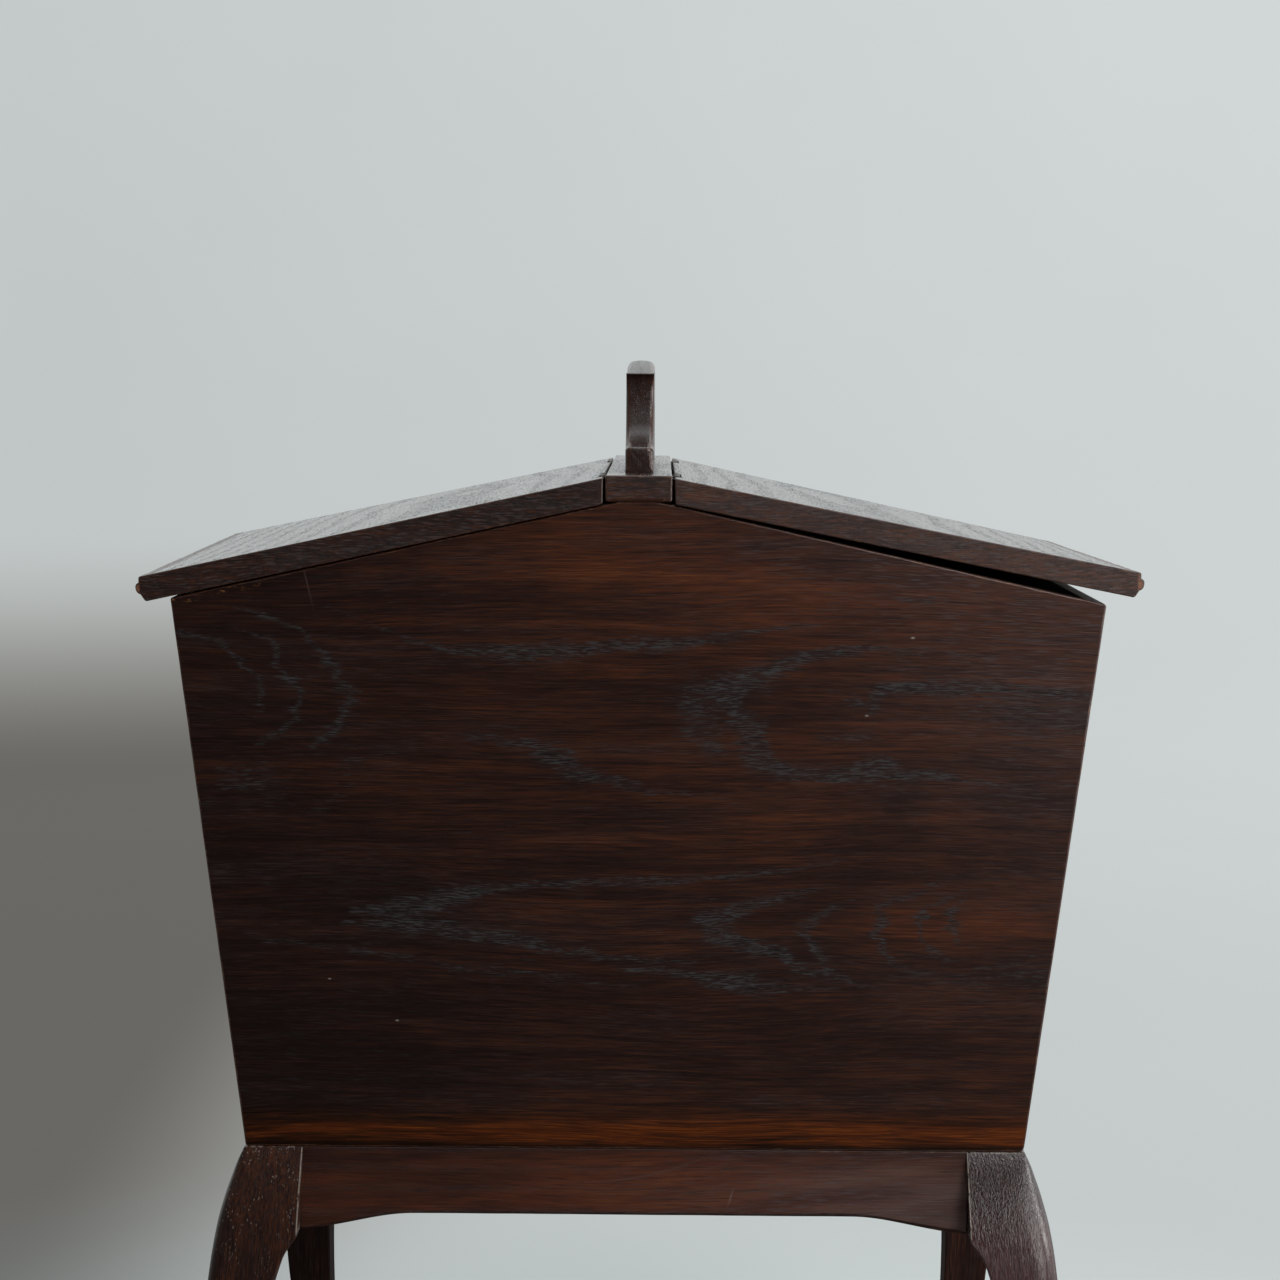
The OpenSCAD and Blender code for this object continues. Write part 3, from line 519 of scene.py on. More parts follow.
    # painted shade to the left and painted light to the right
    left = smooth01(-x0, 0.0, 190.0)
    right = smooth01(x0, 60.0, 190.0)
    wide = field(x0, z0, 90.0, 16.0, 37.0)
    # painted shadow: a dark line along the foot of the panel
    painted_shadow_line = smooth01(-z0, -243.5, -241.0)
    ground = (top * 0.17 + foot * (0.25 + rows * 0.05) + inside * 0.16 + finger * 0.13 + mid * 0.05 + nest * 0.0 - stain * 0.15 - left * 0.16 + right * 0.03
              + rows * 0.10 + wide * 0.10 - painted_shadow_line * 0.42 - plum * 0.06 - smooth01(-x0, -80.0, 20.0) * (1 - foot) * 0.035 - smooth01(-x0, -20.0, 200.0) * foot * 0.06 - 0.02 + smooth01(z0, 400.0, 500.0) * 0.09 - smooth01(-z0, -350.0, -290.0) * (1 - foot) * 0.05)
    # painted sheen: towards the right, along the top and in soft patches, none on the foot band
    sheen = 0.05 + right * smooth01(z0, 330.0, 470.0) * 0.36 + smooth01(x0, -40.0, 120.0) * smooth01(z0, 455.0, 500.0) * 0.30 + np.clip(field(x0, z0, 60.0, 9.0, 43.0), 0, 1) * 0.22
    sheen = sheen * (1 - foot)
    return {"figure": band, "ground": ground, "sheen": sheen}


def back_figure(x0, z0):
    """A quieter figure for the back panel: cathedrals opening left, and long streaks."""
    n1 = field(x0, z0, 26.0, 11.0, 14.0)
    n2 = field(x0, z0, 7.0, 2.6, 19.0, 1)
    x = x0 + n1 * 6.0 + n2 * 5.0
    z = z0 + n1 * 3.0 + n2 * 0.8
    band = np.zeros(len(x))
    for v in ((40.0, 470.0, 0.05, 0.0, 90.0, 2.0, 0.8), (-60.0, 448.0, -0.04, 0.0, 80.0, 2.4, 0.8), (60.0, 300.0, 0.03, 0.0, 110.0, 1.8, 0.7),
              (-80.0, 280.0, 0.02, 0.0, 90.0, 2.2, 0.7), (20.0, 262.0, -0.02, 0.0, 120.0, 1.6, 0.6), (-20.0, 496.0, 0.02, 0.0, 60.0, 1.4, 0.6)):
        band = np.maximum(band, np_stroke(x, z, *v[:-1]) * v[-1])
    for v in ((-84.0, 372.0, 0.050, -1.0, 2.0, 22.0, 0.8), (-52.0, 372.0, 0.042, -1.0, 2.2, 28.0, 0.85), (-8.0, 370.0, 0.036, -1.0, 4.2, 34.0, 0.95),
              (44.0, 368.0, 0.034, -1.0, 2.4, 40.0, 0.8), (104.0, 366.0, 0.030, -1.0, 2.6, 46.0, 0.7), (160.0, 366.0, 0.026, -1.0, 2.4, 50.0, 0.6)):
        band = np.maximum(band, np_curl(x, z, *v[:-1]) * v[-1])
    rows = field(x0, z0, 120.0, 2.6, 41.0)
    ground = np_stroke(x, z, -20.0, 372.0, 0.0, 0.0, 120.0, 26.0) * 0.10 + smooth01(-z0, -258.0, -243.0) * 0.12 + rows * 0.06
    # painted sheen, even over the whole panel
    return {"figure": band, "ground": ground, "sheen": np.full(len(x), 0.10)}


def leg_marks(sx, sy):
    def extra(g, q):
        x, y, z = q["x"], q["y"], q["z"]
        down = 240.0 - z
        # pale line of old glue and dirt beside the aprons, and specks above the knee
        ink = g.noise(g.vec(x / 2.2, y / 2.2, z / 6.0), 2.0, 0.6)
        jx = (x.abs() - (STAND_X - BLOCK + 0.18) - down * 0.038).abs()
        jy = (y.abs() - (STAND_Y - BLOCK + 0.18) - down * 0.038).abs()
        joint = (g.smooth(jx, 0.38, 0.16).max(g.smooth(jy, 0.38, 0.16))) * g.smooth(down, 37.0, 34.0)
        top = g.smooth(down, 0.6, 0.25)
        glue = ((joint * g.smooth(ink, 0.34, 0.50)).max(top * g.smooth(ink, 0.46, 0.58) * 0.6))
        dots = g.smooth(g.voronoi(g.vec(x / 1.0, y / 1.0, z / 3.0)), 0.30, 0.12)
        some = g.smooth(g.noise(g.vec(x / 4.5 + sx * 3.0, y / 4.5, z / 22.0), 2.0), 0.42, 0.56)
        zone = g.smooth(down, 75.0, 8.0)
        q["cover"] = [(dots * some * zone * (0.75 if sx < 0 else 0.22), (0.20, 0.155, 0.13) if sx < 0 else (0.13, 0.12, 0.12)), (glue * 0.62, (0.30, 0.255, 0.215))]
        chatter = g.noise(g.vec((x + g.noise(g.vec(x / 3.0, y / 3.0, z / 4.0), 1.0) * 2.0) / 0.80, y / 0.80, z / 3.8), 2.0, 0.6) - 0.5
        q["height"] = dots * some * zone * 0.05 + chatter * (0.27 if sx > 0 else 0.05) * g.smooth(down, 62.0, 14.0)
        if sy < 0 < sx:
            q["tone"] = g.smooth(down, 46.0, 10.0) * -0.22 - 0.04
            # painted sheen on the front right leg, growing below the top of the knee
            q["haze"] = g.smooth(down, 12.0, 50.0) * 1.05 + 0.25
            q["tint"] = (1.0, (1.25, 0.97, 1.05))
        # painted shade: the back legs are painted darker, the back left one most
        if sy > 0:
            q["tone"] = g.smooth(down, 300.0, 299.0) * (-0.30 if sx < 0 else -0.12)
    return extra


def apron_marks(g, q):
    x, y, z = q["x"], q["y"], q["z"]
    top = g.smooth(z, 239.3, 239.75)
    ink = g.noise(g.vec(x / 6.0, y / 6.0, z / 2.0), 2.0, 0.6)
    crack = ((z - 218.5 - (g.noise(g.vec(x / 9.0, 1.0, 1.0), 2.0) - 0.5) * 2.0).bell(0.22)) * g.smooth(x, 118.0, 128.0)
    glue = top * g.smooth(ink, 0.50, 0.60) * g.smooth(x, 40.0, 140.0)
    arc = (((z - 226.0) - (x + 10.0) * 0.10 - ((x + 10.0) * (x + 10.0)) * 0.004).bell(0.5)) * (x - 5.0).bell(26.0)
    nick = (x - 42.0 - (z - 219.0) * 0.30).bell(0.35) * (z - 219.0).bell(3.0)
    slant = g.noise(g.vec((x + z * 1.5) / 80.0 + 5.0, y / 30.0, (z - x * 0.16) / 8.5), 1.0, 0.5) - 0.5
    # the last cover is a painted reflection: pinkish light on the lower right part, broken up by the slanting grain
    q["cover"] = [(glue * 0.6, (0.26, 0.23, 0.21)), (crack * 0.8, (0.006, 0.005, 0.005)), (arc * 0.30 * q["fine"], (0.12, 0.10, 0.10)),
                  (nick * 0.5, (0.16, 0.12, 0.11)),
                  (g.smooth(x, 30.0, 150.0) * g.smooth(z, 240.0, 226.0) * (slant * 2.4 + q["fibre"] * 1.0 + 0.55).clamp() * 0.75, (0.105, 0.066, 0.058))]
    q["band"] = q["band"] * 0.5
    q["tint"] = (1.0, (0.98, 0.92, 0.98))
    # painted light: lighter towards the right; it is also darker along the top
    q["tone"] = g.smooth(x, -160.0, 30.0) * 0.18 - g.smooth(z, 230.0, 240.0) * 0.16 + slant * 0.50 + 0.01
    # painted sheen, strongest on the lower right
    q["haze"] = g.smooth(x, -60.0, 120.0) * g.smooth(z, 239.0, 222.0) * 0.75 + g.smooth(z, 231.0, 238.0) * g.smooth(x, 0.0, 60.0) * 0.35 + 0.05
    q["height"] = -crack * 0.10


# ---------------------------------------------------------------- meshes
def perlin(points, scale, seed=0.0):
    """Smooth noise from about -1 to 1 at each point."""
    return np.array([noise.noise(Vector((float(p[0]) / scale + seed, float(p[1]) / scale - seed, float(p[2]) / scale + 0.37 * seed))) for p in points])


def cut_grid(bm, is_cap, xs, zs):
    """Cuts a flat cap into a fine grid: columns first, then each column into cells."""
    caps = [f for f in bm.faces if is_cap(f)]
    for axis, values in ((0, xs), (2, zs)):
        normal = Vector((1, 0, 0)) if axis == 0 else Vector((0, 0, 1))
        for value in values:
            cross, later = [], []
            for f in caps:
                c = [v.co[axis] for v in f.verts]
                if min(c) < value - 1e-7 and max(c) > value + 1e-7:
                    cross.append(f)
                elif min(c) >= value - 1e-7:
                    later.append(f)
            if not cross:
                continue
            geom = list({v for f in cross for v in f.verts}) + list({e for f in cross for e in f.edges}) + cross
            got = bmesh.ops.bisect_plane(bm, geom=geom, plane_co=normal * value, plane_no=normal, dist=1e-8)
            caps = later + [f for f in got["geom"] if isinstance(f, bmesh.types.BMFace) and f.calc_center_median()[axis] > value]
        caps = [f for f in bm.faces if is_cap(f)]


def make_object(name, verts, faces, mats, face_mats, sharp=32.0, weighted=True, grid=None, figure=None):
    me = bpy.data.meshes.new(name)
    me.from_pydata([tuple(float(c) * 0.001 for c in v) for v in verts], [], faces)
    bm = bmesh.new()
    bm.from_mesh(me)
    bm.faces.ensure_lookup_table()
    for f, k in zip(bm.faces, face_mats):
        f.material_index = k
        f.smooth = True
    bmesh.ops.remove_doubles(bm, verts=bm.verts, dist=1e-7)
    bmesh.ops.dissolve_degenerate(bm, edges=bm.edges, dist=1e-8)
    bmesh.ops.recalc_face_normals(bm, faces=bm.faces)
    if grid:
        cut_grid(bm, *grid)
    bm.to_mesh(me)
    bm.free()
    if figure:
        co = np.empty(len(me.vertices) * 3, np.float32)
        me.vertices.foreach_get("co", co)
        co = co.reshape(-1, 3).astype(float) * 1000.0
        for key, values in figure(co).items():
            me.attributes.new(key, "FLOAT", "POINT").data.foreach_set("value", np.asarray(values, np.float32))
    me.set_sharp_from_angle(angle=math.radians(sharp))
    for m in mats:
        me.materials.append(m)
    o = bpy.data.objects.new(name, me)
    bpy.context.scene.collection.objects.link(o)
    if weighted:
        w = o.modifiers.new("normals", "WEIGHTED_NORMAL")
        w.keep_sharp = True
        w.weight = 60
    return o


def loft(rings, ring_mats, cap_mats):
    """Closed rings of equal count, joined and capped. ring_mats has one index per gap, or a list of one per side."""
    n = len(rings[0])
    verts = np.concatenate(rings)
    faces, mats = [], []
    for i in range(len(rings) - 1):
        a, b = i * n, (i + 1) * n
        for j in range(n):
            k = (j + 1) % n
            faces.append((a + j, a + k, b + k, b + j))
            m = ring_mats[i]
            mats.append(m[j] if isinstance(m, (list, np.ndarray)) else m)
    faces.append(tuple(range(n - 1, -1, -1)))
    mats.append(cap_mats[0])
    last = (len(rings) - 1) * n
    faces.append(tuple(last + j for j in range(n)))
    mats.append(cap_mats[1])
    return verts, faces, [int(m) for m in mats]


def round_poly(corners, radii, step=5.0, arc=4):
    """A closed outline with rounded corners and its long edges cut up, and for each point the number of the edge it is on."""
    c = np.array(corners, float)
    n = len(c)
    pts, tags = [], []
    ends = []
    for i in range(n):
        p, a, b = c[i], c[i - 1], c[(i + 1) % n]
        u, w = (a - p) / np.linalg.norm(a - p), (b - p) / np.linalg.norm(b - p)
        half = math.acos(max(-1.0, min(1.0, float(u @ w)))) / 2
        r = radii[i]
        t = min(r / math.tan(half), 0.45 * np.linalg.norm(a - p), 0.45 * np.linalg.norm(b - p))
        r = t * math.tan(half)
        if r < 1e-6:
            ends.append((p, p, [p]))
            continue
        m = (u + w) / np.linalg.norm(u + w)
        centre = p + m * (r / math.sin(half))
        s, e = p + u * t, p + w * t
        v0, v1 = s - centre, e - centre
        ang0 = math.atan2(v0[1], v0[0])
        turn = math.atan2(v0[0] * v1[1] - v0[1] * v1[0], float(v0 @ v1))
        ends.append((s, e, [centre + r * np.array([math.cos(ang0 + turn * k / arc), math.sin(ang0 + turn * k / arc)]) for k in range(arc + 1)]))
    for i in range(n):
        for q in ends[i][2]:
            pts.append(q)
            tags.append(i)
        s, e = ends[i][1], ends[(i + 1) % n][0]
        k = max(1, int(round(np.linalg.norm(e - s) / step)))
        for j in range(1, k):
            pts.append(s + (e - s) * j / k)
            tags.append(i)
    return np.array(pts), np.array(tags)


def turn_ccw(p):
    x, y = p[:, 0], p[:, 1]
    return p if np.sum(x * np.roll(y, -1) - np.roll(x, -1) * y) > 0 else p[::-1].copy()


def inset(p, d):
    """Each point of a counter-clockwise outline moved inwards by d."""
    e1 = p - np.roll(p, 1, 0)
    e2 = np.roll(p, -1, 0) - p
    e1 /= np.maximum(np.linalg.norm(e1, axis=1), 1e-9)[:, None]
    e2 /= np.maximum(np.linalg.norm(e2, axis=1), 1e-9)[:, None]
    n1 = np.stack([-e1[:, 1], e1[:, 0]], 1)
    n2 = np.stack([-e2[:, 1], e2[:, 0]], 1)
    m = n1 + n2
    m /= np.maximum(np.linalg.norm(m, axis=1), 1e-9)[:, None]
    c = np.maximum((m * n1).sum(1), 0.6)
    return p + m * (np.broadcast_to(d, (len(p),)) / c)[:, None]


def plate_rings(p, w0, w1, r0, r1, place, steps=4):
    """Rings of a board with outline p from w0 to w1, its arrises rounded by r0 and r1 (numbers, or one per point)."""
    rings = []
    sgn = 1.0 if w1 > w0 else -1.0
    r0 = np.broadcast_to(np.asarray(r0, float), (len(p),))
    r1 = np.broadcast_to(np.asarray(r1, float), (len(p),))
    for k in range(steps + 1):
        t = k / steps * math.pi / 2
        rings.append(place(inset(p, r0 * (1 - math.sin(t))), w0 + sgn * r0 * (1 - math.cos(t))))
    for k in range(steps, -1, -1):
        t = k / steps * math.pi / 2
        rings.append(place(inset(p, r1 * (1 - math.sin(t))), w1 - sgn * r1 * (1 - math.cos(t))))
    return rings


def along_y(s=1.0):
    return lambda p, w: np.stack([p[:, 0], s * np.broadcast_to(w, (len(p),)), p[:, 1]], 1)


def along_x(s=1.0):
    return lambda p, w: np.stack([s * np.broadcast_to(w, (len(p),)), p[:, 0], p[:, 1]], 1)


def worn_radius(p, base, amount, seed, scale=9.0):
    q = np.stack([p[:, 0], p[:, 1], np.zeros(len(p))], 1)
    k = perlin(q, scale, seed) + 0.6 * perlin(q, scale * 0.35, seed + 5)
    return base * np.clip(1 + amount * k, 0.45, 1.9)


def catmull(points, per=4, closed=False):
    """A smooth curve through the points."""
    p = np.array(points, float)
    out = []
    n = len(p)
    for i in range(n if closed else n - 1):
        a = p[i - 1] if (closed or i > 0) else 2 * p[0] - p[1]
        b, c = p[i], p[(i + 1) % n]
        d = p[(i + 2) % n] if (closed or i + 2 < n) else 2 * p[-1] - p[-2]
        for k in range(per):
            t = k / per
            out.append(0.5 * ((2 * b) + (c - a) * t + (2 * a - 5 * b + 4 * c - d) * t * t + (-a + 3 * b - 3 * c + d) * t ** 3))
    if not closed:
        out.append(p[-1])
    return np.array(out)


def adopt(obj, node):
    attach(obj, NODES[node]["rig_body"])
    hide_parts(node)
    return obj


# ---------------------------------------------------------------- materials
M = {}
M["front"] = wood("front_panel_wood", "X", 1.0, ring=7.0, extra=figured(front_marks), contrast=0.62, specular=0.12, gloss=0.38)
M["front_arris"] = wood("front_panel_arris", "X", 1.0, ring=7.0, contrast=0.55, wear=0.7, specular=0.5, tone=0.06)
M["back"] = wood("back_panel_wood", "X", 2.0, ring=7.0, extra=figured(), contrast=0.6, specular=0.15, gloss=0.38)
M["back_arris"] = wood("back_panel_arris", "X", 2.0, ring=7.0, contrast=0.6, wear=0.7, specular=0.5, tone=0.06)
M["panel_end"] = wood("panel_end_grain", "X", 3.0, ring=4.0, gloss=0.45, end=True, specular=0.4)
M["side"] = wood("side_board_wood", "Y", 4.0, pith=(260.0, 120.0), ring=6.0, specular=0.42, tone=0.03, contrast=0.7, extra=painted_lit_top_edge)
M["side_arris"] = wood("side_board_arris", "Y", 4.0, pith=(260.0, 120.0), ring=6.0, wear=0.4, specular=0.42, contrast=0.7, extra=painted_lit_top_edge)
M["inside"] = wood("inside_wood", "X", 6.0, ring=6.0, gloss=0.60, contrast=0.7, tone=0.20, dull=0.35, specular=0.3)
M["inside_y"] = wood("inside_wood_lengthwise", "Y", 7.0, pith=(240.0, 120.0), ring=6.0, gloss=0.60, contrast=0.7, tone=0.20, dull=0.35, specular=0.3)
M["lid"] = wood("lid_wood", "Y", 8.0, pith=(70.0, 380.0), ring=5.5, gloss=0.235, relief=1.8, bands=0.85, coat=0.10, contrast=0.8)
M["lid_left"] = wood("left_lid_wood", "Y", 9.0, pith=(-60.0, 380.0), ring=5.5, gloss=0.235, relief=1.8, bands=0.85, coat=0.10, contrast=0.8)
# the right lid's end grain is painted lighter and with more painted sheen than the left lid's: painted light from the
# right
M["lid_end"] = wood("lid_end_grain", "X", 8.0, pith=(480.0, 40.0), ring=2.6, gloss=0.40, end=True, tone=0.22, specular=0.42, contrast=0.9, haze=0.36, fib=1.7, extra=bead_end)
M["lid_end_left"] = wood("left_lid_end_grain", "X", 9.0, pith=(480.0, 40.0), ring=2.6, gloss=0.42, end=True, tone=-0.04, specular=0.28, contrast=0.9, haze=0.12, fib=1.7, extra=bead_end)
M["lid_arris"] = wood("lid_arris", "Y", 8.0, pith=(70.0, 380.0), ring=5.5, gloss=0.36, wear=0.55, specular=0.5, contrast=0.8)
M["lid_under"] = wood("lid_underside", "Y", 10.0, pith=(70.0, 380.0), ring=5.5, gloss=0.55, dull=0.4, tone=0.1, specular=0.3, contrast=0.8)
# painted shade: the walls of the hinge recesses are painted near black
M["recess"] = wood("hinge_recess_painted_shade", "Y", 23.0, tone=-0.45, gloss=0.70, specular=0.05, dull=0.6, haze=0.0)
M["bead"] = wood("eave_bead", "Y", 11.0, ring=5.0, gloss=0.42, wear=0.9, tone=0.12, specular=0.45, contrast=0.8)
M["ridge"] = wood("ridge_wood", "Y", 12.0, pith=(0.0, 430.0), ring=4.5, gloss=0.245, relief=1.5, bands=0.7, coat=0.10, contrast=0.8)
M["ridge_end"] = wood("ridge_end_grain", "X", 12.0, pith=(560.0, 0.0), ring=3.0, gloss=0.42, end=True, tone=0.08, specular=0.34, haze=0.16, fib=1.8)
M["ridge_arris"] = wood("ridge_arris", "Y", 12.0, pith=(0.0, 430.0), ring=4.5, gloss=0.36, wear=0.6, contrast=0.8)
M["handle"] = wood("handle_wood", "Y", 13.0, pith=(60.0, 600.0), ring=5.0, gloss=0.31, tone=-0.10, bands=0.3, contrast=0.6, specular=0.52)
M["handle_arris"] = wood("handle_arris", "Y", 13.0, pith=(60.0, 600.0), ring=5.0, gloss=0.26, tone=0.10, bands=0.3, wear=0.12, contrast=0.6)
M["apron_x"] = wood("apron_wood_across", "X", 14.0, pith=(160.0, -60.0), ring=6.0, gloss=0.36, extra=apron_marks, contrast=0.5, tone=0.10, specular=0.28, fib=0.6)
M["apron_y"] = wood("apron_wood_lengthwise", "Y", 15.0, pith=(120.0, 160.0), ring=6.0, gloss=0.36, contrast=0.6, tone=0.10)
M["apron_arris"] = wood("apron_arris", "X", 14.0, pith=(160.0, -60.0), ring=6.0, gloss=0.36, wear=0.2, contrast=0.6)
for _i, (_sx, _sy) in enumerate([(-1, -1), (1, -1), (-1, 1), (1, 1)]):
    M[f"leg{_sx}{_sy}"] = wood(f"leg_wood_{_i}", "Z", 16.0 + _i, pith=(_sx * 120.0, _sy * 60.0), ring=5.0, gloss=(0.19 if _sx > 0 and _sy < 0 else 0.34 if _sy < 0 else 0.55), extra=leg_marks(_sx, _sy),
                                bands=0.08, contrast=0.85, haze=0.10, specular=(0.56 if _sx > 0 and _sy < 0 else 0.22 if _sy < 0 else 0.05), fib=1.3, follow=(_sx * 0.45, _sy * 0.45))
M["leg_arris"] = wood("leg_arris", "Z", 21.0, ring=5.0, gloss=0.30, contrast=0.75, bands=0.05, specular=0.35, fib=1.25)


def bare_wood(name, axis, seed, colour, darker, rough=0.6, pith=(60.0, -140.0)):
    m, g, p = new_material(name, colour)
    v, x, y, z = place_mm(g)
    l, a, b = {"X": (x, z, y), "Y": (y, x, z), "Z": (z, x, y)}[axis]
    s = seed * 11.7
    wander = g.noise(g.vec(l / 160.0 + s, a / 50.0, b / 50.0), 1.0) - 0.5
    aw, bw = a + wander * 9.0, b + wander * 5.0
    da, db = aw - pith[0], bw - pith[1]
    r = ((da * da + db * db).sqrt() / 4.0).fract()
    ringv = g.smooth(r, 0.25, 0.85) * (1.0 - g.smooth(r, 0.92, 1.0))
    fibre = g.noise(g.vec(l / 24.0 + s, aw / 0.7, bw / 0.7), 3.0, 0.6) - 0.5
    stain = g.noise(g.vec(x / 40.0 + s, y / 40.0, z / 40.0), 4.0, 0.6)
    fine = g.smooth(g.noise(g.vec(l / 6.0 + s, aw / 0.3, bw / 0.3), 1.0), 0.58, 0.68)
    c = g.mix((ringv * 0.45 + fibre * 0.8 + 0.2).clamp(), colour, darker)
    c = g.times(c, g.grey(0.62 + stain * 0.62))
    c = g.mix(fine * 0.45, c, tuple(k * 0.35 for k in darker))
    finish_shader(g, p, c, (rough + fibre * 0.15).min(0.9), fibre * 0.03 - fine * 0.03 + ringv * 0.01, 0.35)
    return m


M["bare_x"] = bare_wood("bare_wood_across", "X", 1.0, (0.30, 0.175, 0.090), (0.17, 0.085, 0.040))
M["bare_y"] = bare_wood("bare_wood_lengthwise", "Y", 2.0, (0.29, 0.170, 0.088), (0.16, 0.082, 0.040))
M["tray_x"] = bare_wood("tray_wood_across", "X", 3.0, (0.34, 0.205, 0.110), (0.20, 0.105, 0.050), 0.55)
M["tray_y"] = bare_wood("tray_wood_lengthwise", "Y", 4.0, (0.34, 0.205, 0.110), (0.20, 0.105, 0.050), 0.55, (-90.0, 300.0))


def metal(name, colour, dark, rough, seed, metallic=1.0):
    m, g, p = new_material(name, colour)
    v, x, y, z = place_mm(g)
    n = g.noise(g.vec(x / 2.4 + seed, y / 2.4, z / 2.4), 5.0, 0.65)
    k = g.noise(g.vec(x / 0.35 + seed, y / 3.0, z / 0.35), 2.0, 0.6) - 0.5
    c = g.mix(g.smooth(n, 0.36, 0.62), dark, colour)
    finish_shader(g, p, c, (rough + (0.5 - n) * 0.5 + k * 0.15).max(0.2).min(0.9), n * 0.05 + k * 0.015, 0.5, metallic)
    return m


M["brass"] = metal("tarnished_brass", (0.070, 0.052, 0.034), (0.022, 0.017, 0.013), 0.5, 1.0)
M["steel"] = metal("dulled_steel", (0.30, 0.285, 0.27), (0.10, 0.085, 0.07), 0.42, 5.0)

# ---------------------------------------------------------------- body
BODY = [(-HW0, STAND), (HW0, STAND), (HW1, STAND + CORNER), (APEX_W / 2, APEX), (-APEX_W / 2, APEX), (-HW1, STAND + CORNER)]


def end_panel(name, s, face, arris, seed, figure, cell):
    p, tag = round_poly(BODY, [1.5, 2.5, 1.3, 0.5, 0.5, 1.0], 4.0, 5)
    r0 = worn_radius(p, 0.75, 0.45, seed)
    place = along_y(s)
    rings = []
    steps = 4
    for k in range(steps + 1):
        t = k / steps * math.pi / 2
        rings.append(place(inset(p, r0 * (1 - math.sin(t))), BODY_Y - r0 * (1 - math.cos(t))))
    rings.append(place(p, REBATE_Y))
    # the rebated inner part
    q = p.copy()
    for i in range(len(q)):
        x, z = q[i]
        if tag[i] in (1, 5, 2) or tag[i] == 0 or tag[i] in (3, 4):
            lim = inner_x(z - STAND)
            if z > STAND + CORNER:
                if abs(x) > ROOF_IN_X:
                    q[i] = (math.copysign(ROOF_IN_X, x), STAND + CORNER + (HW1 - ROOF_IN_X) * math.tan(SLOPE))
            else:
                z = max(z, STAND + 8.0)
                q[i] = (math.copysign(min(abs(x), inner_x(z - STAND)), x), z)
    rings.append(place(q, REBATE_Y))
    rings.append(place(q, INNER_Y))
    edge = np.array([1 if (t in (1, 5)) else 2 for t in tag])      # sides show end grain, roof and foot too
    mats = [1] * steps + [[2] * len(p)] + [3, 3]
    v, f, fm = loft(rings, mats, (0, 3))
    plane = s * BODY_Y * 0.001
    cap = lambda f: f.material_index == 0 and abs(f.verts[0].co.y - plane) < 1e-6
    xs = [x * 0.001 for x in np.arange(-198.9, 199.0, cell[0])]
    zs = [z * 0.001 for z in np.arange(241.0, 520.5, cell[1])]
    o = make_object(name, v, f, [face, arris, M["panel_end"], M["inside"]], fm, grid=(cap, xs, zs), figure=lambda c: figure(c[:, 0], c[:, 2]))
    return adopt(o, name)


end_panel("front_end_panel", -1.0, M["front"], M["front_arris"], 1.0, front_figure, (1.6, 1.0))
end_panel("back_end_panel", 1.0, M["back"], M["back_arris"], 2.0, back_figure, (2.6, 1.3))


def rename(o, name):
    o.name = name
    o.data.name = name
    return o


def side_board(name, s, seed):
    z8 = STAND + 8.0
    c = [(HW0 - 4.5, STAND), (HW0, STAND), (HW1, STAND + CORNER),
         (ROOF_IN_X, STAND + CORNER + (HW1 - ROOF_IN_X) * math.tan(SLOPE)), (inner_x(8), z8), (HW0 - 4.5, z8)]
    p, tag = round_poly(c, [0.3, 1.0, 0.8, 0.3, 0.2, 0.1], 6.0, 4)
    rings = plate_rings(p, -REBATE_Y + 0.04, REBATE_Y - 0.04, 0.25, 0.25, along_y(), 2)
    side = [0 if t == 1 else (1 if t == 2 else 2) for t in tag]
    mats = [1, 1] + [side] + [1, 1]
    v, f, fm = loft(rings, mats, (2, 2))
    v[:, 0] *= s
    o = make_object(name, v, f, [M["side"], M["side_arris"], M["inside_y"]], fm)
    return adopt(o, name)


side_board("left_side_board", -1.0, 3.0)
side_board("right_side_board", 1.0, 4.0)


def ridge_board():
    z0, z1, h = APEX, RIDGE_TOP, RIDGE_W / 2
    base, tag = round_poly([(-h, z0), (h, z0), (h, z1), (-h, z1)], [1.1, 1.1, 1.0, 0.9], 3.0, 4)
    ys = list(np.arange(-LID_LEN / 2 + 1.2, LID_LEN / 2 - 1.1, 6.0)) + [LID_LEN / 2 - 1.2]
    rings, mats = [], []
    place = along_y()
    r = worn_radius(base, 0.75, 0.3, 7.0, 5.0)
    low = np.clip((h - 1.2 - np.abs(base[:, 0])) / 2.5, 0, 1) * (base[:, 1] < z0 + 0.1)
    r = r * (1 - low) + low * 1.8
    for k in range(5):
        t = k / 4 * math.pi / 2
        rings.append(place(inset(base, r * (1 - math.sin(t))), -LID_LEN / 2 + r * (1 - math.cos(t))))
        mats.append(1)
    for y in ys[1:-1]:
        w = place(base, y)
        n = perlin(w, 11.0, 3.0)
        d = np.where((np.abs(base[:, 0]) > h - 1.4) & (base[:, 1] > z1 - 1.4), 0.18 * (n + 0.5).clip(0, 1), 0.0)
        rings.append(place(inset(base, d), y))
        mats.append(0)
    for k in range(4, -1, -1):
        t = k / 4 * math.pi / 2
        rings.append(place(inset(base, r * (1 - math.sin(t))), LID_LEN / 2 - r * (1 - math.cos(t))))
        mats.append(1)
    mats = [1] * 4 + [0] * (len(rings) - 9) + [1] * 4
    v, f, fm = loft(rings, mats, (2, 2))
    o = make_object("ridge_board", v, f, [M["ridge"], M["ridge_arris"], M["ridge_end"]], fm)
    return adopt(o, "ridge_board")


ridge_board()


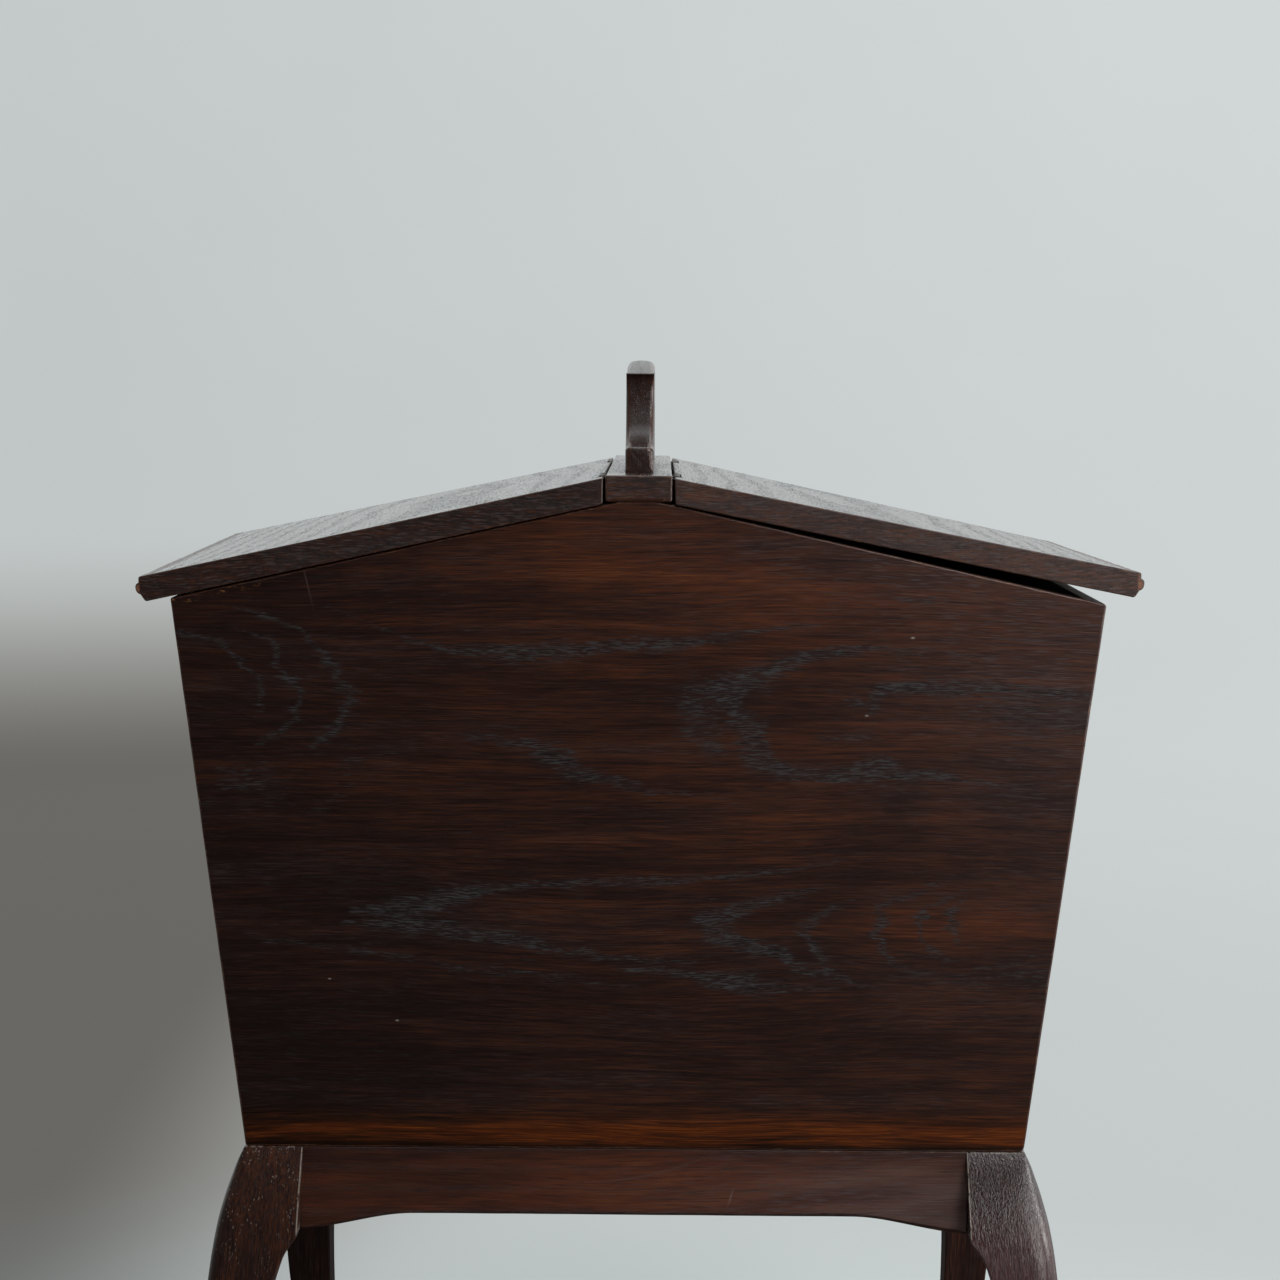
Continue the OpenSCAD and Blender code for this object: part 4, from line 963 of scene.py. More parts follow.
# ---------------------------------------------------------------- handle
def handle():
    hl, hh = HANDLE_L, HANDLE_H
    half = [(-hl, 0.0), (-hl, 2.5), (-hl, 5.0), (-hl, 7.5), (-hl, 9.4), (-hl + 0.25, 10.4), (-hl + 0.9, 11.15), (-hl + 2.0, 11.5), (-hl + 3.4, 11.55)]
    half += [(-hl + 24.6 - 20 * (1 - math.sin(math.radians(a))), 11.6 + 21.5 * (1 - math.cos(math.radians(a))) + 0.02 * a) for a in range(6, 91, 6)]
    lip = catmull([(-hl + 24.6, 34.9), (-hl + 24.4, 37.4), (-hl + 23.8, 39.8), (-hl + 22.75, 41.45), (-hl + 21.5, 42.3)], 3)[1:]
    half += [tuple(q) for q in lip]
    half += [(-hl + 20.85, 42.55), (-hl + 20.6, 42.9), (-hl + 21.0, 43.25)]
    ys = list(np.arange(-hl + 22.5, -0.5, 2.5))
    half += [(y, hh - 6.1 * (abs(y) / (hl - 20.5)) ** 2.15) for y in ys]
    up = half + [(0.0, hh)] + [(-y, z) for y, z in reversed(half)]
    grip = [(-76.0, 0.0), (-76.0, 2.0)]
    grip += [(-76.0 + 26 * (1 - math.cos(math.radians(a))), 4 + 26 * math.sin(math.radians(a))) for a in np.arange(0, 76, 6.25)]
    grip += [tuple(q) for q in catmull([(-56.73, 29.1), (-40.0, 31.7), (-20.0, 33.4), (-7.0, 34.0), (0.0, 34.05)], 5)[1:]]
    under = grip + [(-y, z) for y, z in reversed(grip[:-1])]
    base = [(y, 0.0) for y in (-106.0, -99.0, -92.0, -85.0)]
    pts = np.array(up + [(-y, z) for y, z in reversed([])] + [(y, 0.0) for y in (106.0, 99.0, 92.0, 85.0)] + list(reversed(under)) + list(reversed(base)))
    p = turn_ccw(pts)
    y, z = p[:, 0], p[:, 1]
    top = (z > hh - 6.1 * (np.abs(y) / (hl - 20.5)) ** 2.15 - 0.3) & (np.abs(y) < hl - 20.9)
    tip = np.hypot(np.abs(y) - (hl - 20.7), z - 42.7)
    r = np.full(len(p), 1.8)
    r = np.minimum(r, 0.10 + tip * 0.20)
    r = np.minimum(r, 0.25 + z * 0.75)
    q3 = np.stack([y, z, np.zeros(len(p))], 1)
    r = r * np.clip(1 + 0.10 * perlin(q3, 40.0, 3.0), 0.6, 1.3)
    dome = np.where(top, 1.25, 0.0)
    k = np.ones(9) / 9
    dome = np.convolve(np.concatenate([dome[-4:], dome, dome[:4]]), k, "valid") * (z > 40) * np.clip((tip - 0.5) / 12, 0, 1)
    foot = np.exp(-((z - 11.0) / 3.2) ** 2) * (np.abs(y) > hl - 9)
    h = HANDLE_T / 2
    rings = []
    steps = 6
    mats = []
    z0 = RIDGE_TOP
    for side in (-1, 1):
        order = range(steps + 1) if side < 0 else range(steps, -1, -1)
        rs = r * (1.0 if side < 0 else 1.06)
        rx = rs * (1 + 0.75 * foot)
        for i in order:
            t = i / steps * math.pi / 2
            xs = (h - rx) + rx * math.cos(t)
            d = rs * (1 - math.sin(t)) + dome * (xs / h) ** 2.2
            q = inset(p, d)
            rings.append(np.stack([side * xs, q[:, 0], q[:, 1] + z0], 1))
        if side < 0:
            for xx in (-3.2, -2.2, -1.1, 0.0, 1.1, 2.2, 3.2):
                q = inset(p, dome * (abs(xx) / h) ** 2.2)
                rings.append(np.stack([np.full(len(p), xx), q[:, 0], q[:, 1] + z0], 1))
    n = len(rings)
    mats = [1] * steps + [0] * (n - 1 - 2 * steps) + [1] * steps
    v, f, fm = loft(rings, mats, (0, 0))
    o = make_object("handle", v, f, [M["handle"], M["handle_arris"]], fm, 40.0)
    return adopt(o, "handle")


handle()

# ---------------------------------------------------------------- stand
LEG_OUT = np.array([[0, 0], [6, 2.9], [12, 5.2], [18, 7.4], [24, 9.2], [30, 10.8], [36.5, 12.1], [45, 13.5], [51, 14.3], [58, 15.2], [66, 16.1], [76, 17.1],
                    [88, 17.9], [100, 18.3], [114, 18.2], [128, 17.6], [142, 16.4], [156, 14.6], [170, 12.5], [184, 10.5], [196, 9.3], [206, 9.0],
                    [214, 9.7], [221, 11.4], [228, 13.9], [233, 15.2], [237, 15.3], [240, 14.2]])
LEG_IN = np.array([[0, 0], [36.5, 1.4], [40.5, 4.0], [45, 6.8], [51, 9.4], [58, 11.9], [66, 14.2], [76, 16.3], [88, 18.0], [100, 19.0], [114, 19.6],
                   [128, 19.8], [142, 19.6], [156, 19.1], [170, 18.4], [184, 17.6], [196, 16.9], [206, 16.2], [214, 15.3], [221, 14.3], [228, 13.4],
                   [233, 13.1], [237, 13.4], [240, 14.4]])


def eased(table, d):
    """Monotone cubic through a table, at d."""
    xs, ys = table[:, 0], table[:, 1]
    h = np.diff(xs)
    s = np.diff(ys) / h
    m = np.zeros(len(xs))
    for i in range(1, len(xs) - 1):
        if s[i - 1] * s[i] > 0:
            w1, w2 = 2 * h[i] + h[i - 1], h[i] + 2 * h[i - 1]
            m[i] = (w1 + w2) / (w1 / s[i - 1] + w2 / s[i])
    m[0], m[-1] = s[0], s[-1]
    i = int(np.clip(np.searchsorted(xs, d) - 1, 0, len(xs) - 2))
    t = (d - xs[i]) / h[i]
    return ((2 * t ** 3 - 3 * t ** 2 + 1) * ys[i] + (t ** 3 - 2 * t ** 2 + t) * h[i] * m[i] + (-2 * t ** 3 + 3 * t ** 2) * ys[i + 1] + (t ** 3 - t ** 2) * h[i] * m[i + 1])


def leg(name, sx, sy, seed):
    depths = [0.0, 0.12, 0.35, 0.8] + list(np.arange(2.0, 36.0, 2.0)) + [36.2, 36.5, 36.8, 37.5] + list(np.arange(39.0, 238.0, 2.5)) + [238.4, 239.2, 239.7, 240.0]
    rings = []
    arc, crown = 6, 16
    for d in depths:
        o, i = eased(LEG_OUT, d), eased(LEG_IN, d)
        x1, y1 = STAND_X + o, STAND_Y + o
        x0, y0 = STAND_X - BLOCK + i, STAND_Y - BLOCK + i
        end = 0.0
        if d < 0.8:
            end = 0.35 * (1 - math.sin(math.acos(max(0.0, 1 - d / 0.8)))) if d > 0 else 0.35
        if d > 238.0:
            e = (d - 238.0) / 2.0
            end = 1.4 * (1 - math.sqrt(max(0.0, 1 - e * e)))
        x1, y1, x0, y0 = x1 - end, y1 - end, x0 + end, y0 + end
        below = min(1.0, max(0.0, (d - 36.6) / 3.0))
        wob = 1 + 0.10 * noise.noise(Vector((d / 16.0, seed, 0.3)))
        r_side = 0.30 + 0.75 * below
        r_ii = 0.5 + 0.6 * below
        # the outer corner is crowned: a superellipse that runs well into both outer faces
        ext = (1.2 + 17.8 * min(1.0, d / 18.0) ** 1.2) * wob * (1.0 if sx > 0 else 0.62) * (1.0 if d < 60 else 0.55 + 0.45 * math.exp(-(d - 60.0) / 40.0))
        bend = 2.2 + 2.4 * min(1.0, d / 18.0) - 1.6 * (1.0 - math.exp(-max(0.0, d - 60.0) / 40.0))
        corners = [((x1, y1), ext), ((x0, y1), r_side), ((x0, y0), r_ii), ((x1, y0), r_side)]
        ring = []
        for n_c, ((cx, cy), r) in enumerate(corners):
            ux, uy = (1 if cx == x0 else -1), (1 if cy == y0 else -1)
            ccx, ccy = cx + ux * r, cy + uy * r
            # start angle of the arc, going counter-clockwise round the section
            a0 = {(-1, -1): 0.0, (1, -1): 90.0, (1, 1): 180.0, (-1, 1): 270.0}[(ux, uy)]
            for k in range((crown if n_c == 0 else arc) + 1):
                a = math.radians(a0 + 90.0 * k / (crown if n_c == 0 else arc))
                c, q = math.cos(a), math.sin(a)
                if n_c == 0:
                    c, q = math.copysign(abs(c) ** (2 / bend), c), math.copysign(abs(q) ** (2 / bend), q)
                ring.append((ccx + r * c, ccy + r * q))
        ring = np.array(ring)
        z = STAND - d
        rings.append(np.stack([sx * ring[:, 0], sy * ring[:, 1], np.full(len(ring), z)], 1))
    n = len(rings[0])
    mats = [0] * (len(rings) - 1)
    v, f, fm = loft(rings, mats, (0, 0))
    o = make_object(name, v, f, [M[f"leg{sx}{sy}"], M["leg_arris"]], fm, 38.0)
    return adopt(o, name)


leg("front_left_leg", -1, -1, 1.0)
leg("front_right_leg", 1, -1, 2.0)
leg("back_left_leg", -1, 1, 3.0)
leg("back_right_leg", 1, 1, 4.0)


def apron(name, across, s, half_len, half_out, mat):
    """across is True for the front and back aprons, whose length lies along X."""
    e = half_len - BLOCK
    top, end, mid = STAND, STAND - 36.5, STAND - 29.5
    curve = [(e + 1.4 - 50 * t, end + 7.0 * t * t * (3 - 2 * t)) for t in np.linspace(0.04, 0.96, 24)]
    pts = [(-e, top)] + [(x, top) for x in np.arange(-e + 6, e - 3, 6.0)] + [(e, top)]
    pts += [(e + 1.4 * k / 6, top - 36.5 * k / 6) for k in range(1, 6)] + [(e + 1.4, end)]
    pts += curve + [(e - 48.6, mid)] + [(x, mid) for x in np.arange(e - 54.0, -(e - 50.0), -6.0)] + [(-(e - 48.6), mid)]
    pts += [(-x, z) for x, z in reversed(curve)] + [(-(e + 1.4), end)]
    pts += [(-(e + 1.4 * k / 6), top - 36.5 * k / 6) for k in range(5, 0, -1)]
    p = turn_ccw(np.array(pts))
    z = p[:, 1]
    low = (z < mid + 0.2) & (np.abs(p[:, 0]) < e + 1.3)
    r_front = np.where(low, 1.7, 0.22)
    k = np.ones(3) / 3
    r_front = np.convolve(np.concatenate([r_front[-1:], r_front, r_front[:1]]), k, "valid")
    q3 = np.stack([p[:, 0], p[:, 1], np.zeros(len(p))], 1)
    r_front = r_front * np.clip(1 + 0.25 * perlin(q3, 18.0, s), 0.7, 1.4)
    place = along_y(s) if across else along_x(s)
    rings = plate_rings(p, half_out, half_out - 16.0, r_front, 0.4, place, 5)
    mats = [1] * 5 + [0] + [1] * 5
    v, f, fm = loft(rings, mats, (0, 0))
    o = make_object(name, v, f, [mat, M["apron_arris"]], fm)
    return adopt(o, name)


apron("front_apron", True, -1.0, STAND_X, STAND_Y, M["apron_x"])
apron("back_apron", True, 1.0, STAND_X, STAND_Y, M["apron_x"])
apron("left_apron", False, -1.0, STAND_Y, STAND_X, M["apron_y"])
apron("right_apron", False, 1.0, STAND_Y, STAND_X, M["apron_y"])


# ---------------------------------------------------------------- lids
def lid_section():
    """Outline of the lid about its pin: u down the slope, w square to the board, and a tag for its finish."""
    u = LID_U
    w1, w0 = 1.4, 1.4 - LID_T
    pts, tag = [], []

    def put(q, t):
        pts.append(q)
        tag.append(t)
    for a in (0, 30, 60, 90):                     # inner top arris
        r = 0.7
        put((-1.3 + r - r * math.cos(math.radians(a)), w1 - r + r * math.sin(math.radians(a))), 1)
    for q in np.arange(5.0, u - 3.0, 5.0):
        put((q, w1), 0)
    for a in (90, 60, 30, 8):                     # outer top arris
        r = 0.9
        put((u + 0.7 - r + r * math.cos(math.radians(a)), w1 - r + r * math.sin(math.radians(a))), 1)
    bead = catmull([(u + 0.95, -0.5), (u + 1.05, -1.05), (u + 2.0, -1.45), (u + 2.62, -2.25), (u + 2.8, -3.45), (u + 2.65, -4.65), (u + 2.1, -5.65), (u + 1.3, -6.15)], 3)
    for q in bead:
        put(tuple(q), 3)
    for q in catmull([(u + 0.95, -6.9), (u + 0.45, -8.2), (u + 0.0, -9.1), (u - 0.7, w0)], 2):
        put(tuple(q), 3)
    for q in np.arange(u - 6.0, 5.0, -5.0):
        put((q, w0), 2)
    put((1.8, w0), 2)
    put((1.1, w0 + 0.35), 2)
    put((0.85, w0 + 0.9), 4)
    for k in (0.25, 0.5, 0.75):
        put((0.85 - 2.15 * k, w0 + 0.9 + (w1 - 0.7 - w0 - 0.9) * k), 4)
    return np.array(pts), tag


def lid(name, s, front, back, face, end, seed):
    p, tag = lid_section()
    p = turn_ccw(p)
    if len(tag) == len(p) and not np.allclose(p, lid_section()[0]):
        tag = tag[::-1]
    ys = np.linspace(-LID_LEN / 2, LID_LEN / 2, 49)

    def place(q, y):
        y = np.broadcast_to(y, (len(q),))
        a = np.radians(front + (back - front) * (y + LID_LEN / 2) / LID_LEN)
        k = SLOPE - a
        return np.stack([s * (PIN_X + q[:, 0] * np.cos(k) + q[:, 1] * np.sin(k)), y, PIN_Z - q[:, 0] * np.sin(k) + q[:, 1] * np.cos(k)], 1)

    q3 = np.stack([p[:, 0], p[:, 1] * 1.0, np.zeros(len(p))], 1)
    rough_end = np.clip((p[:, 0] - 150.0) / 50.0, 0, 1) if s > 0 else np.clip((p[:, 0] - 185.0) / 15.0, 0, 1)
    r = 0.55 * np.clip(1 + (0.45 + 0.5 * rough_end) * (perlin(q3, 5.0, seed) + 0.7 * perlin(q3, 2.1, seed + 3)), 0.35, 2.2)
    rings, mats = [], []
    steps = 4
    for k in range(steps + 1):
        t = k / steps * math.pi / 2
        rings.append(place(inset(p, r * (1 - math.sin(t))), -LID_LEN / 2 + r * (1 - math.cos(t))))
    for y in ys[1:-1]:
        w = place(p, y)
        n = perlin(w, 9.0, seed)
        d = np.where(np.isin(tag, (1,)), 0.22 * np.clip(n + 0.35, 0, 1), 0.0)
        d = d + np.where(np.isin(tag, (3,)), 0.18 * np.clip(perlin(w, 7.0, seed + 9) + 0.2, 0, 1), 0.0)
        rings.append(place(inset(p, d), y))
    for k in range(steps, -1, -1):
        t = k / steps * math.pi / 2
        rings.append(place(inset(p, r * (1 - math.sin(t))), LID_LEN / 2 - r * (1 - math.cos(t))))
    body = [{0: 0, 1: 2, 2: 3, 3: 4, 4: 2}[t] for t in tag]
    mats = [2] * steps + [body] * (len(rings) - 1 - 2 * steps) + [2] * steps
    v, f, fm = loft(rings, mats, (1, 1))
    o = make_object(name, v, f, [face, end, M["lid_arris"], M["lid_under"], M["bead"]], fm, 34.0, weighted=False)
    # hinge recesses
    cutters = []
    for m, x0, x1, z0, z1 in ((-1, -4.7, 2.1, -2.1, 4.0), (1, -4.7, 2.1, -2.1, 4.0), (-1, -4.5, -0.42, -12.0, 3.5), (1, -4.5, -0.42, -12.0, 3.5)):
        a = math.radians(front + (back - front) * (m * HINGE_Y + LID_LEN / 2) / LID_LEN)
        me = bpy.data.meshes.new("recess")
        bm = bmesh.new()
        bmesh.ops.create_cube(bm, size=1.0)
        for vv in bm.verts:
            lx = x0 if vv.co.x < 0 else x1
            ly = m * HINGE_Y + (-1 if vv.co.y < 0 else 1) * (HINGE_LEN / 2 + (0.9 if x1 > 0 else 0.38))
            lz = z0 if vv.co.z < 0 else z1
            # turned up with the lid about the pin
            gx = lx * math.cos(a) - lz * math.sin(a)
            gz = lx * math.sin(a) + lz * math.cos(a)
            vv.co = Vector((s * (PIN_X + gx), ly, PIN_Z + gz)) * 0.001
        bmesh.ops.recalc_face_normals(bm, faces=bm.faces)
        bm.to_mesh(me)
        bm.free()
        me.materials.append(M["recess"])
        c = bpy.data.objects.new("recess", me)
        bpy.context.scene.collection.objects.link(c)
        cutters.append(c)
        b = o.modifiers.new("recess", "BOOLEAN")
        b.operation, b.solver, b.object = "DIFFERENCE", "EXACT", c
        b.material_mode = "TRANSFER"
    bpy.context.view_layer.update()
    dg = bpy.context.evaluated_depsgraph_get()
    done = bpy.data.meshes.new_from_object(o.evaluated_get(dg))
    o.modifiers.clear()
    old = o.data
    o.data = done
    bpy.data.meshes.remove(old)
    for c in cutters:
        bpy.data.objects.remove(c)
    o.data.set_sharp_from_angle(angle=math.radians(34.0))
    w = o.modifiers.new("normals", "WEIGHTED_NORMAL")
    w.keep_sharp, w.weight = True, 60
    return adopt(o, name)


lid("left_lid", -1.0, 0.1, 0.7, M["lid_left"], M["lid_end_left"], 5.0)
lid("right_lid", 1.0, 1.50, 0.42, M["lid"], M["lid_end"], 6.0)


# ---------------------------------------------------------------- screws
CUT = {}


def slotted(head_r, head_w, shank_r, length, cone, slot_w, slot_d, seg=28):
    """A slotted countersunk screw about +Z with its head's top at 0 and its shank below."""
    key = (head_r, head_w, shank_r, length, cone, slot_w, slot_d)
    if key in CUT:
        return CUT[key].copy()
    prof = [(head_r * 0.55, head_w), (head_r * 0.9, head_w * 0.75), (head_r, 0.0), (shank_r, -cone), (shank_r, -length + shank_r), (shank_r * 0.15, -length)]
    bm = bmesh.new()
    rings = []
    for r, z in prof:
        rings.append([bm.verts.new((r * math.cos(2 * math.pi * k / seg), r * math.sin(2 * math.pi * k / seg), z)) for k in range(seg)])
    for a, b in zip(rings, rings[1:]):
        for k in range(seg):
            bm.faces.new((a[k], a[(k + 1) % seg], b[(k + 1) % seg], b[k]))
    bm.faces.new(rings[0])
    bm.faces.new(rings[-1])
    bmesh.ops.recalc_face_normals(bm, faces=bm.faces)
    me = bpy.data.meshes.new("screw")
    bm.to_mesh(me)
    bm.free()
    o = bpy.data.objects.new("screw", me)
    bpy.context.scene.collection.objects.link(o)
    cm = bpy.data.meshes.new("slot")
    b2 = bmesh.new()
    bmesh.ops.create_cube(b2, size=1.0)
    for v in b2.verts:
        v.co = Vector((v.co.x * head_r * 3, v.co.y * slot_w, -slot_d if v.co.z < 0 else 2.0 + head_w))
    b2.to_mesh(cm)
    b2.free()
    c = bpy.data.objects.new("slot", cm)
    bpy.context.scene.collection.objects.link(c)
    m = o.modifiers.new("slot", "BOOLEAN")
    m.operation, m.solver, m.object = "DIFFERENCE", "EXACT", c
    bpy.context.view_layer.update()
    dg = bpy.context.evaluated_depsgraph_get()
    got = bpy.data.meshes.new_from_object(o.evaluated_get(dg))
    bpy.data.objects.remove(o)
    bpy.data.objects.remove(c)
    CUT[key] = got
    return got.copy()


def screw_group(node, places, sizes):
    """places: (point in mm, direction the head looks, turn of the slot)."""
    bm = bmesh.new()
    for point, way, turn in places:
        me = slotted(*sizes)
        rot = Vector(way).normalized().to_track_quat("Z", "Y").to_matrix().to_4x4() @ Matrix.Rotation(turn, 4, "Z")
        mat = Matrix.Scale(0.001, 4) @ Matrix.Translation(Vector(point)) @ rot
        me.transform(mat)
        bm.from_mesh(me)
        bpy.data.meshes.remove(me)
    me = bpy.data.meshes.new(node)
    bmesh.ops.recalc_face_normals(bm, faces=bm.faces)
    for f in bm.faces:
        f.smooth = True
    bm.to_mesh(me)
    bm.free()
    me.set_sharp_from_angle(angle=math.radians(30))
    me.materials.append(M["steel"])
    o = bpy.data.objects.new(node, me)
    bpy.context.scene.collection.objects.link(o)
    return adopt(o, node)


places = []
k = 0
for s in (-1, 1):
    for m in (-1, 1):
        for d in (-1, 1):
            k += 1
            places.append(((s * (RIDGE_W / 2 + 0.74), m * HINGE_Y + d * 12.5, PIN_Z - 4.6), (s, 0, 0), 0.7 * k))
screw_group("ridge_leaf_screws", places, (1.9, 0.05, 1.0, 9.0, 0.9, 0.42, 0.35))
for s, side, front, back in ((-1, "left", 0.1, 0.7), (1, "right", 1.45, 0.1)):
    places = []
    for m in (-1, 1):
        for d in (-1, 1):
            a = math.radians(front + (back - front) * (m * HINGE_Y + LID_LEN / 2) / LID_LEN)
            lx, lz = -0.5 - 0.70 - 0.03, -4.6
            gx, gz = lx * math.cos(a) - lz * math.sin(a), lx * math.sin(a) + lz * math.cos(a)
            k += 1
            places.append(((s * (PIN_X + gx), m * HINGE_Y + d * 12.5, PIN_Z + gz), (-s * math.cos(a), 0, -math.sin(a)), 0.9 * k))
    screw_group(f"{side}_lid_leaf_screws", places, (1.9, 0.04, 1.0, 9.0, 0.9, 0.42, 0.35))
BX, BY = STAND_X - 16.0, STAND_Y - 16.0
places = []
for x in (-1, 1):
    for y in (-1, 1):
        places.append(((x * (BX - 26.0), y * (BY - 26.0), STAND - 20.0), (0, 0, -1), 0.5 * x + y))
screw_group("stand_to_box_screws", places, (3.3, 0.05, 1.6, 25.5, 1.7, 0.75, 0.9))
places = []
for x in (-1, 1):
    for y in (-1, 1):
        places.append(((x * (BX - 48.0), y * (BY - 15.8), STAND - 11.0), (0, -y, 0), x + 0.4 * y))
        places.append(((x * (BX - 15.8), y * (BY - 48.0), STAND - 16.0), (-x, 0, 0), x - 0.9 * y))
screw_group("corner_block_screws", places, (3.3, 0.05, 1.6, 23.0, 1.7, 0.75, 0.9))
places = [((0, m * (HANDLE_L - 17.0), APEX + 0.05), (0, 0, -1), 0.6 * m) for m in (-1, 1)]
screw_group("handle_screws", places, (3.6, 0.0, 1.95, RIDGE_T + 9.4, 1.8, 0.8, 1.0))

# ---------------------------------------------------------------- pieces kept from the frame
KEPT = {
    "bottom_board": ("bare_x", 0.4), "ridge_dowels": ("bare_x", 0.2),
    "front_tray_runner": ("bare_x", 0.5), "back_tray_runner": ("bare_x", 0.5),
    "front_left_corner_block": ("bare_y", 0.6), "front_right_corner_block": ("bare_y", 0.6),
    "back_left_corner_block": ("bare_y", 0.6), "back_right_corner_block": ("bare_y", 0.6),
    "tray_bottom": ("tray_y", 0.4), "tray_front_end": ("tray_x", 0.6), "tray_back_end": ("tray_x", 0.6),
    "tray_left_side": ("tray_y", 0.6), "tray_right_side": ("tray_y", 0.6), "tray_long_divider": ("tray_y", 0.5),
    "tray_front_cross_divider": ("tray_x", 0.5), "tray_back_cross_divider": ("tray_x", 0.5),
}
for side in ("left", "right"):
    for e in ("front", "back"):
        KEPT[f"{side}_{e}_ridge_leaf"] = ("brass", 0.10)
        KEPT[f"{side}_{e}_lid_leaf"] = ("brass", 0.10)
        KEPT[f"{side}_{e}_hinge_pin"] = ("brass", 0.08)
for node, (mat, r) in KEPT.items():
    o = NODES[node]
    o.data.materials.clear()
    o.data.materials.append(M[mat])
    w = o.modifiers.new("weld", "WELD")
    w.merge_threshold = 1e-5
    b = o.modifiers.new("arris", "BEVEL")
    b.width, b.segments, b.limit_method, b.angle_limit = r * 0.001, 3, "ANGLE", math.radians(40)
    b.use_clamp_overlap = True
    b.harden_normals = False
    for poly in o.data.polygons:
        poly.use_smooth = True
    n = o.modifiers.new("normals", "WEIGHTED_NORMAL")
    n.keep_sharp = False
    n.weight = 60

# ---------------------------------------------------------------- floor and backdrop
def paper(name, centre):
    """Pale studio paper. It is lit by the lamps near the object and glows further out, a little brighter to the right
    and upwards, with a painted shadow in the lower left.
    """
    m, g, p = new_material(name, (0.57, 0.62, 0.62))
    v, x, y, z = place_mm(g)
    r = (x * x + y * y).sqrt()
    n = g.noise(g.vec(x / 900.0, y / 900.0, z / 900.0), 3.0, 0.55) - 0.5
    # painted shadow: darker and warmer towards the lower left
    shade = g.smooth(x, -60.0, -430.0) * g.smooth(z, 300.0, -60.0)
    # painted light: brighter to the right and upwards, and painted shade on the floor round the middle
    level = 0.555 + g.smooth(x, -1300.0, 1300.0) * 0.085 + g.smooth(z, 200.0, 1500.0) * 0.03 - g.smooth(r, 2600.0, 900.0) * g.smooth(z, 60.0, 0.0) * 0.03
    level = (level + n * 0.05) * (1.0 - shade * 0.80)
    glow = g.mix(shade, g.times(g.grey(level), (0.955, 1.02, 1.015)), g.times(g.grey(level), (1.0, 0.965, 0.90)))
    em = g.node("ShaderNodeEmission", {"Color": glow, "Strength": 1.0})
    # painted shadow: the floor's own colour darker to the left
    g.put(g.times(g.grey(1.0 - g.smooth(x, -150.0, -430.0) * 0.62), (0.60, 0.635, 0.63)), p.inputs["Base Color"])
    p.inputs["Roughness"].default_value = 0.8
    p.inputs["Specular IOR Level"].default_value = 0.15
    mix = g.node("ShaderNodeMixShader")
    g.put(g.smooth(r, *centre), mix.inputs[0])
    g.tree.links.new(p.outputs[0], mix.inputs[1])
    g.tree.links.new(em.outputs[0], mix.inputs[2])
    out = next(n for n in g.tree.nodes if n.type == "OUTPUT_MATERIAL")
    g.tree.links.new(mix.outputs[0], out.inputs[0])
    return m


def turned(name, prof, mat, seg=128):
    me = bpy.data.meshes.new(name)
    bm = bmesh.new()
    rings = [[bm.verts.new((r * math.cos(2 * math.pi * i / seg), r * math.sin(2 * math.pi * i / seg), z)) for i in range(seg)] for r, z in prof if r > 0]
    if prof[0][0] == 0:
        c = bm.verts.new((0, 0, prof[0][1]))
        for i in range(seg):
            bm.faces.new((c, rings[0][i], rings[0][(i + 1) % seg]))
    for a, b in zip(rings, rings[1:]):
        for i in range(seg):
            bm.faces.new((a[i], b[i], b[(i + 1) % seg], a[(i + 1) % seg]))
    for f in bm.faces:
        f.smooth = True
    bm.to_mesh(me)
    bm.free()
    me.materials.append(mat)
    o = bpy.data.objects.new(name, me)
    bpy.context.scene.collection.objects.link(o)
    return o


floor = turned("studio_floor", [(0.0, 0.0)] + [(r, 0.0) for r in np.linspace(0.08, 1.2, 15)], paper("floor_paper", (330.0, 800.0)))
wall = turned("studio_backdrop", [(1.2, 0.0), (1.8, 0.0), (2.4, 0.0), (2.9, 0.0)]
              + [(2.9 + 1.2 * math.sin(a), 1.2 - 1.2 * math.cos(a)) for a in np.linspace(0.1, math.pi / 2, 16)]
              + [(4.1, 1.8), (4.05, 2.6), (3.8, 3.4), (3.2, 4.1), (2.2, 4.6), (0.8, 4.8), (0.0, 4.82)][:-1], paper("backdrop_paper", (-2.0, -1.0)))
for o in (wall,):
    o.visible_diffuse = o.visible_glossy = o.visible_transmission = o.visible_shadow = False
floor.visible_glossy = False

# ---------------------------------------------------------------- light
world = bpy.data.worlds.new("studio")
bpy.context.scene.world = world
world.use_nodes = True
wt = world.node_tree
wt.nodes.clear()
g = Graph(wt)
tc = g.node("ShaderNodeTexCoord")
dx, dy, dz = g.split(E(g, tc.outputs["Generated"]))
behind = g.smooth(dy, -0.05, 0.75) * g.smooth(dz, -0.30, -0.02)
level = behind * 0.84 + g.smooth(dx, 0.0, 1.0) * 0.08 + g.smooth(dx, 0.62, 0.97) * 0.55 + g.smooth(dx, -0.62, -0.97) * 0.22 + g.smooth(dx, 0.0, -1.0) * 0.03 + g.smooth(dz, 0.2, 0.85) * 0.24 + 0.022
colour = g.times(g.grey(level), (0.955, 1.0, 1.005))
bg = g.node("ShaderNodeBackground", {"Color": colour, "Strength": 1.0})
out = g.node("ShaderNodeOutputWorld")
wt.links.new(bg.outputs[0], out.inputs[0])


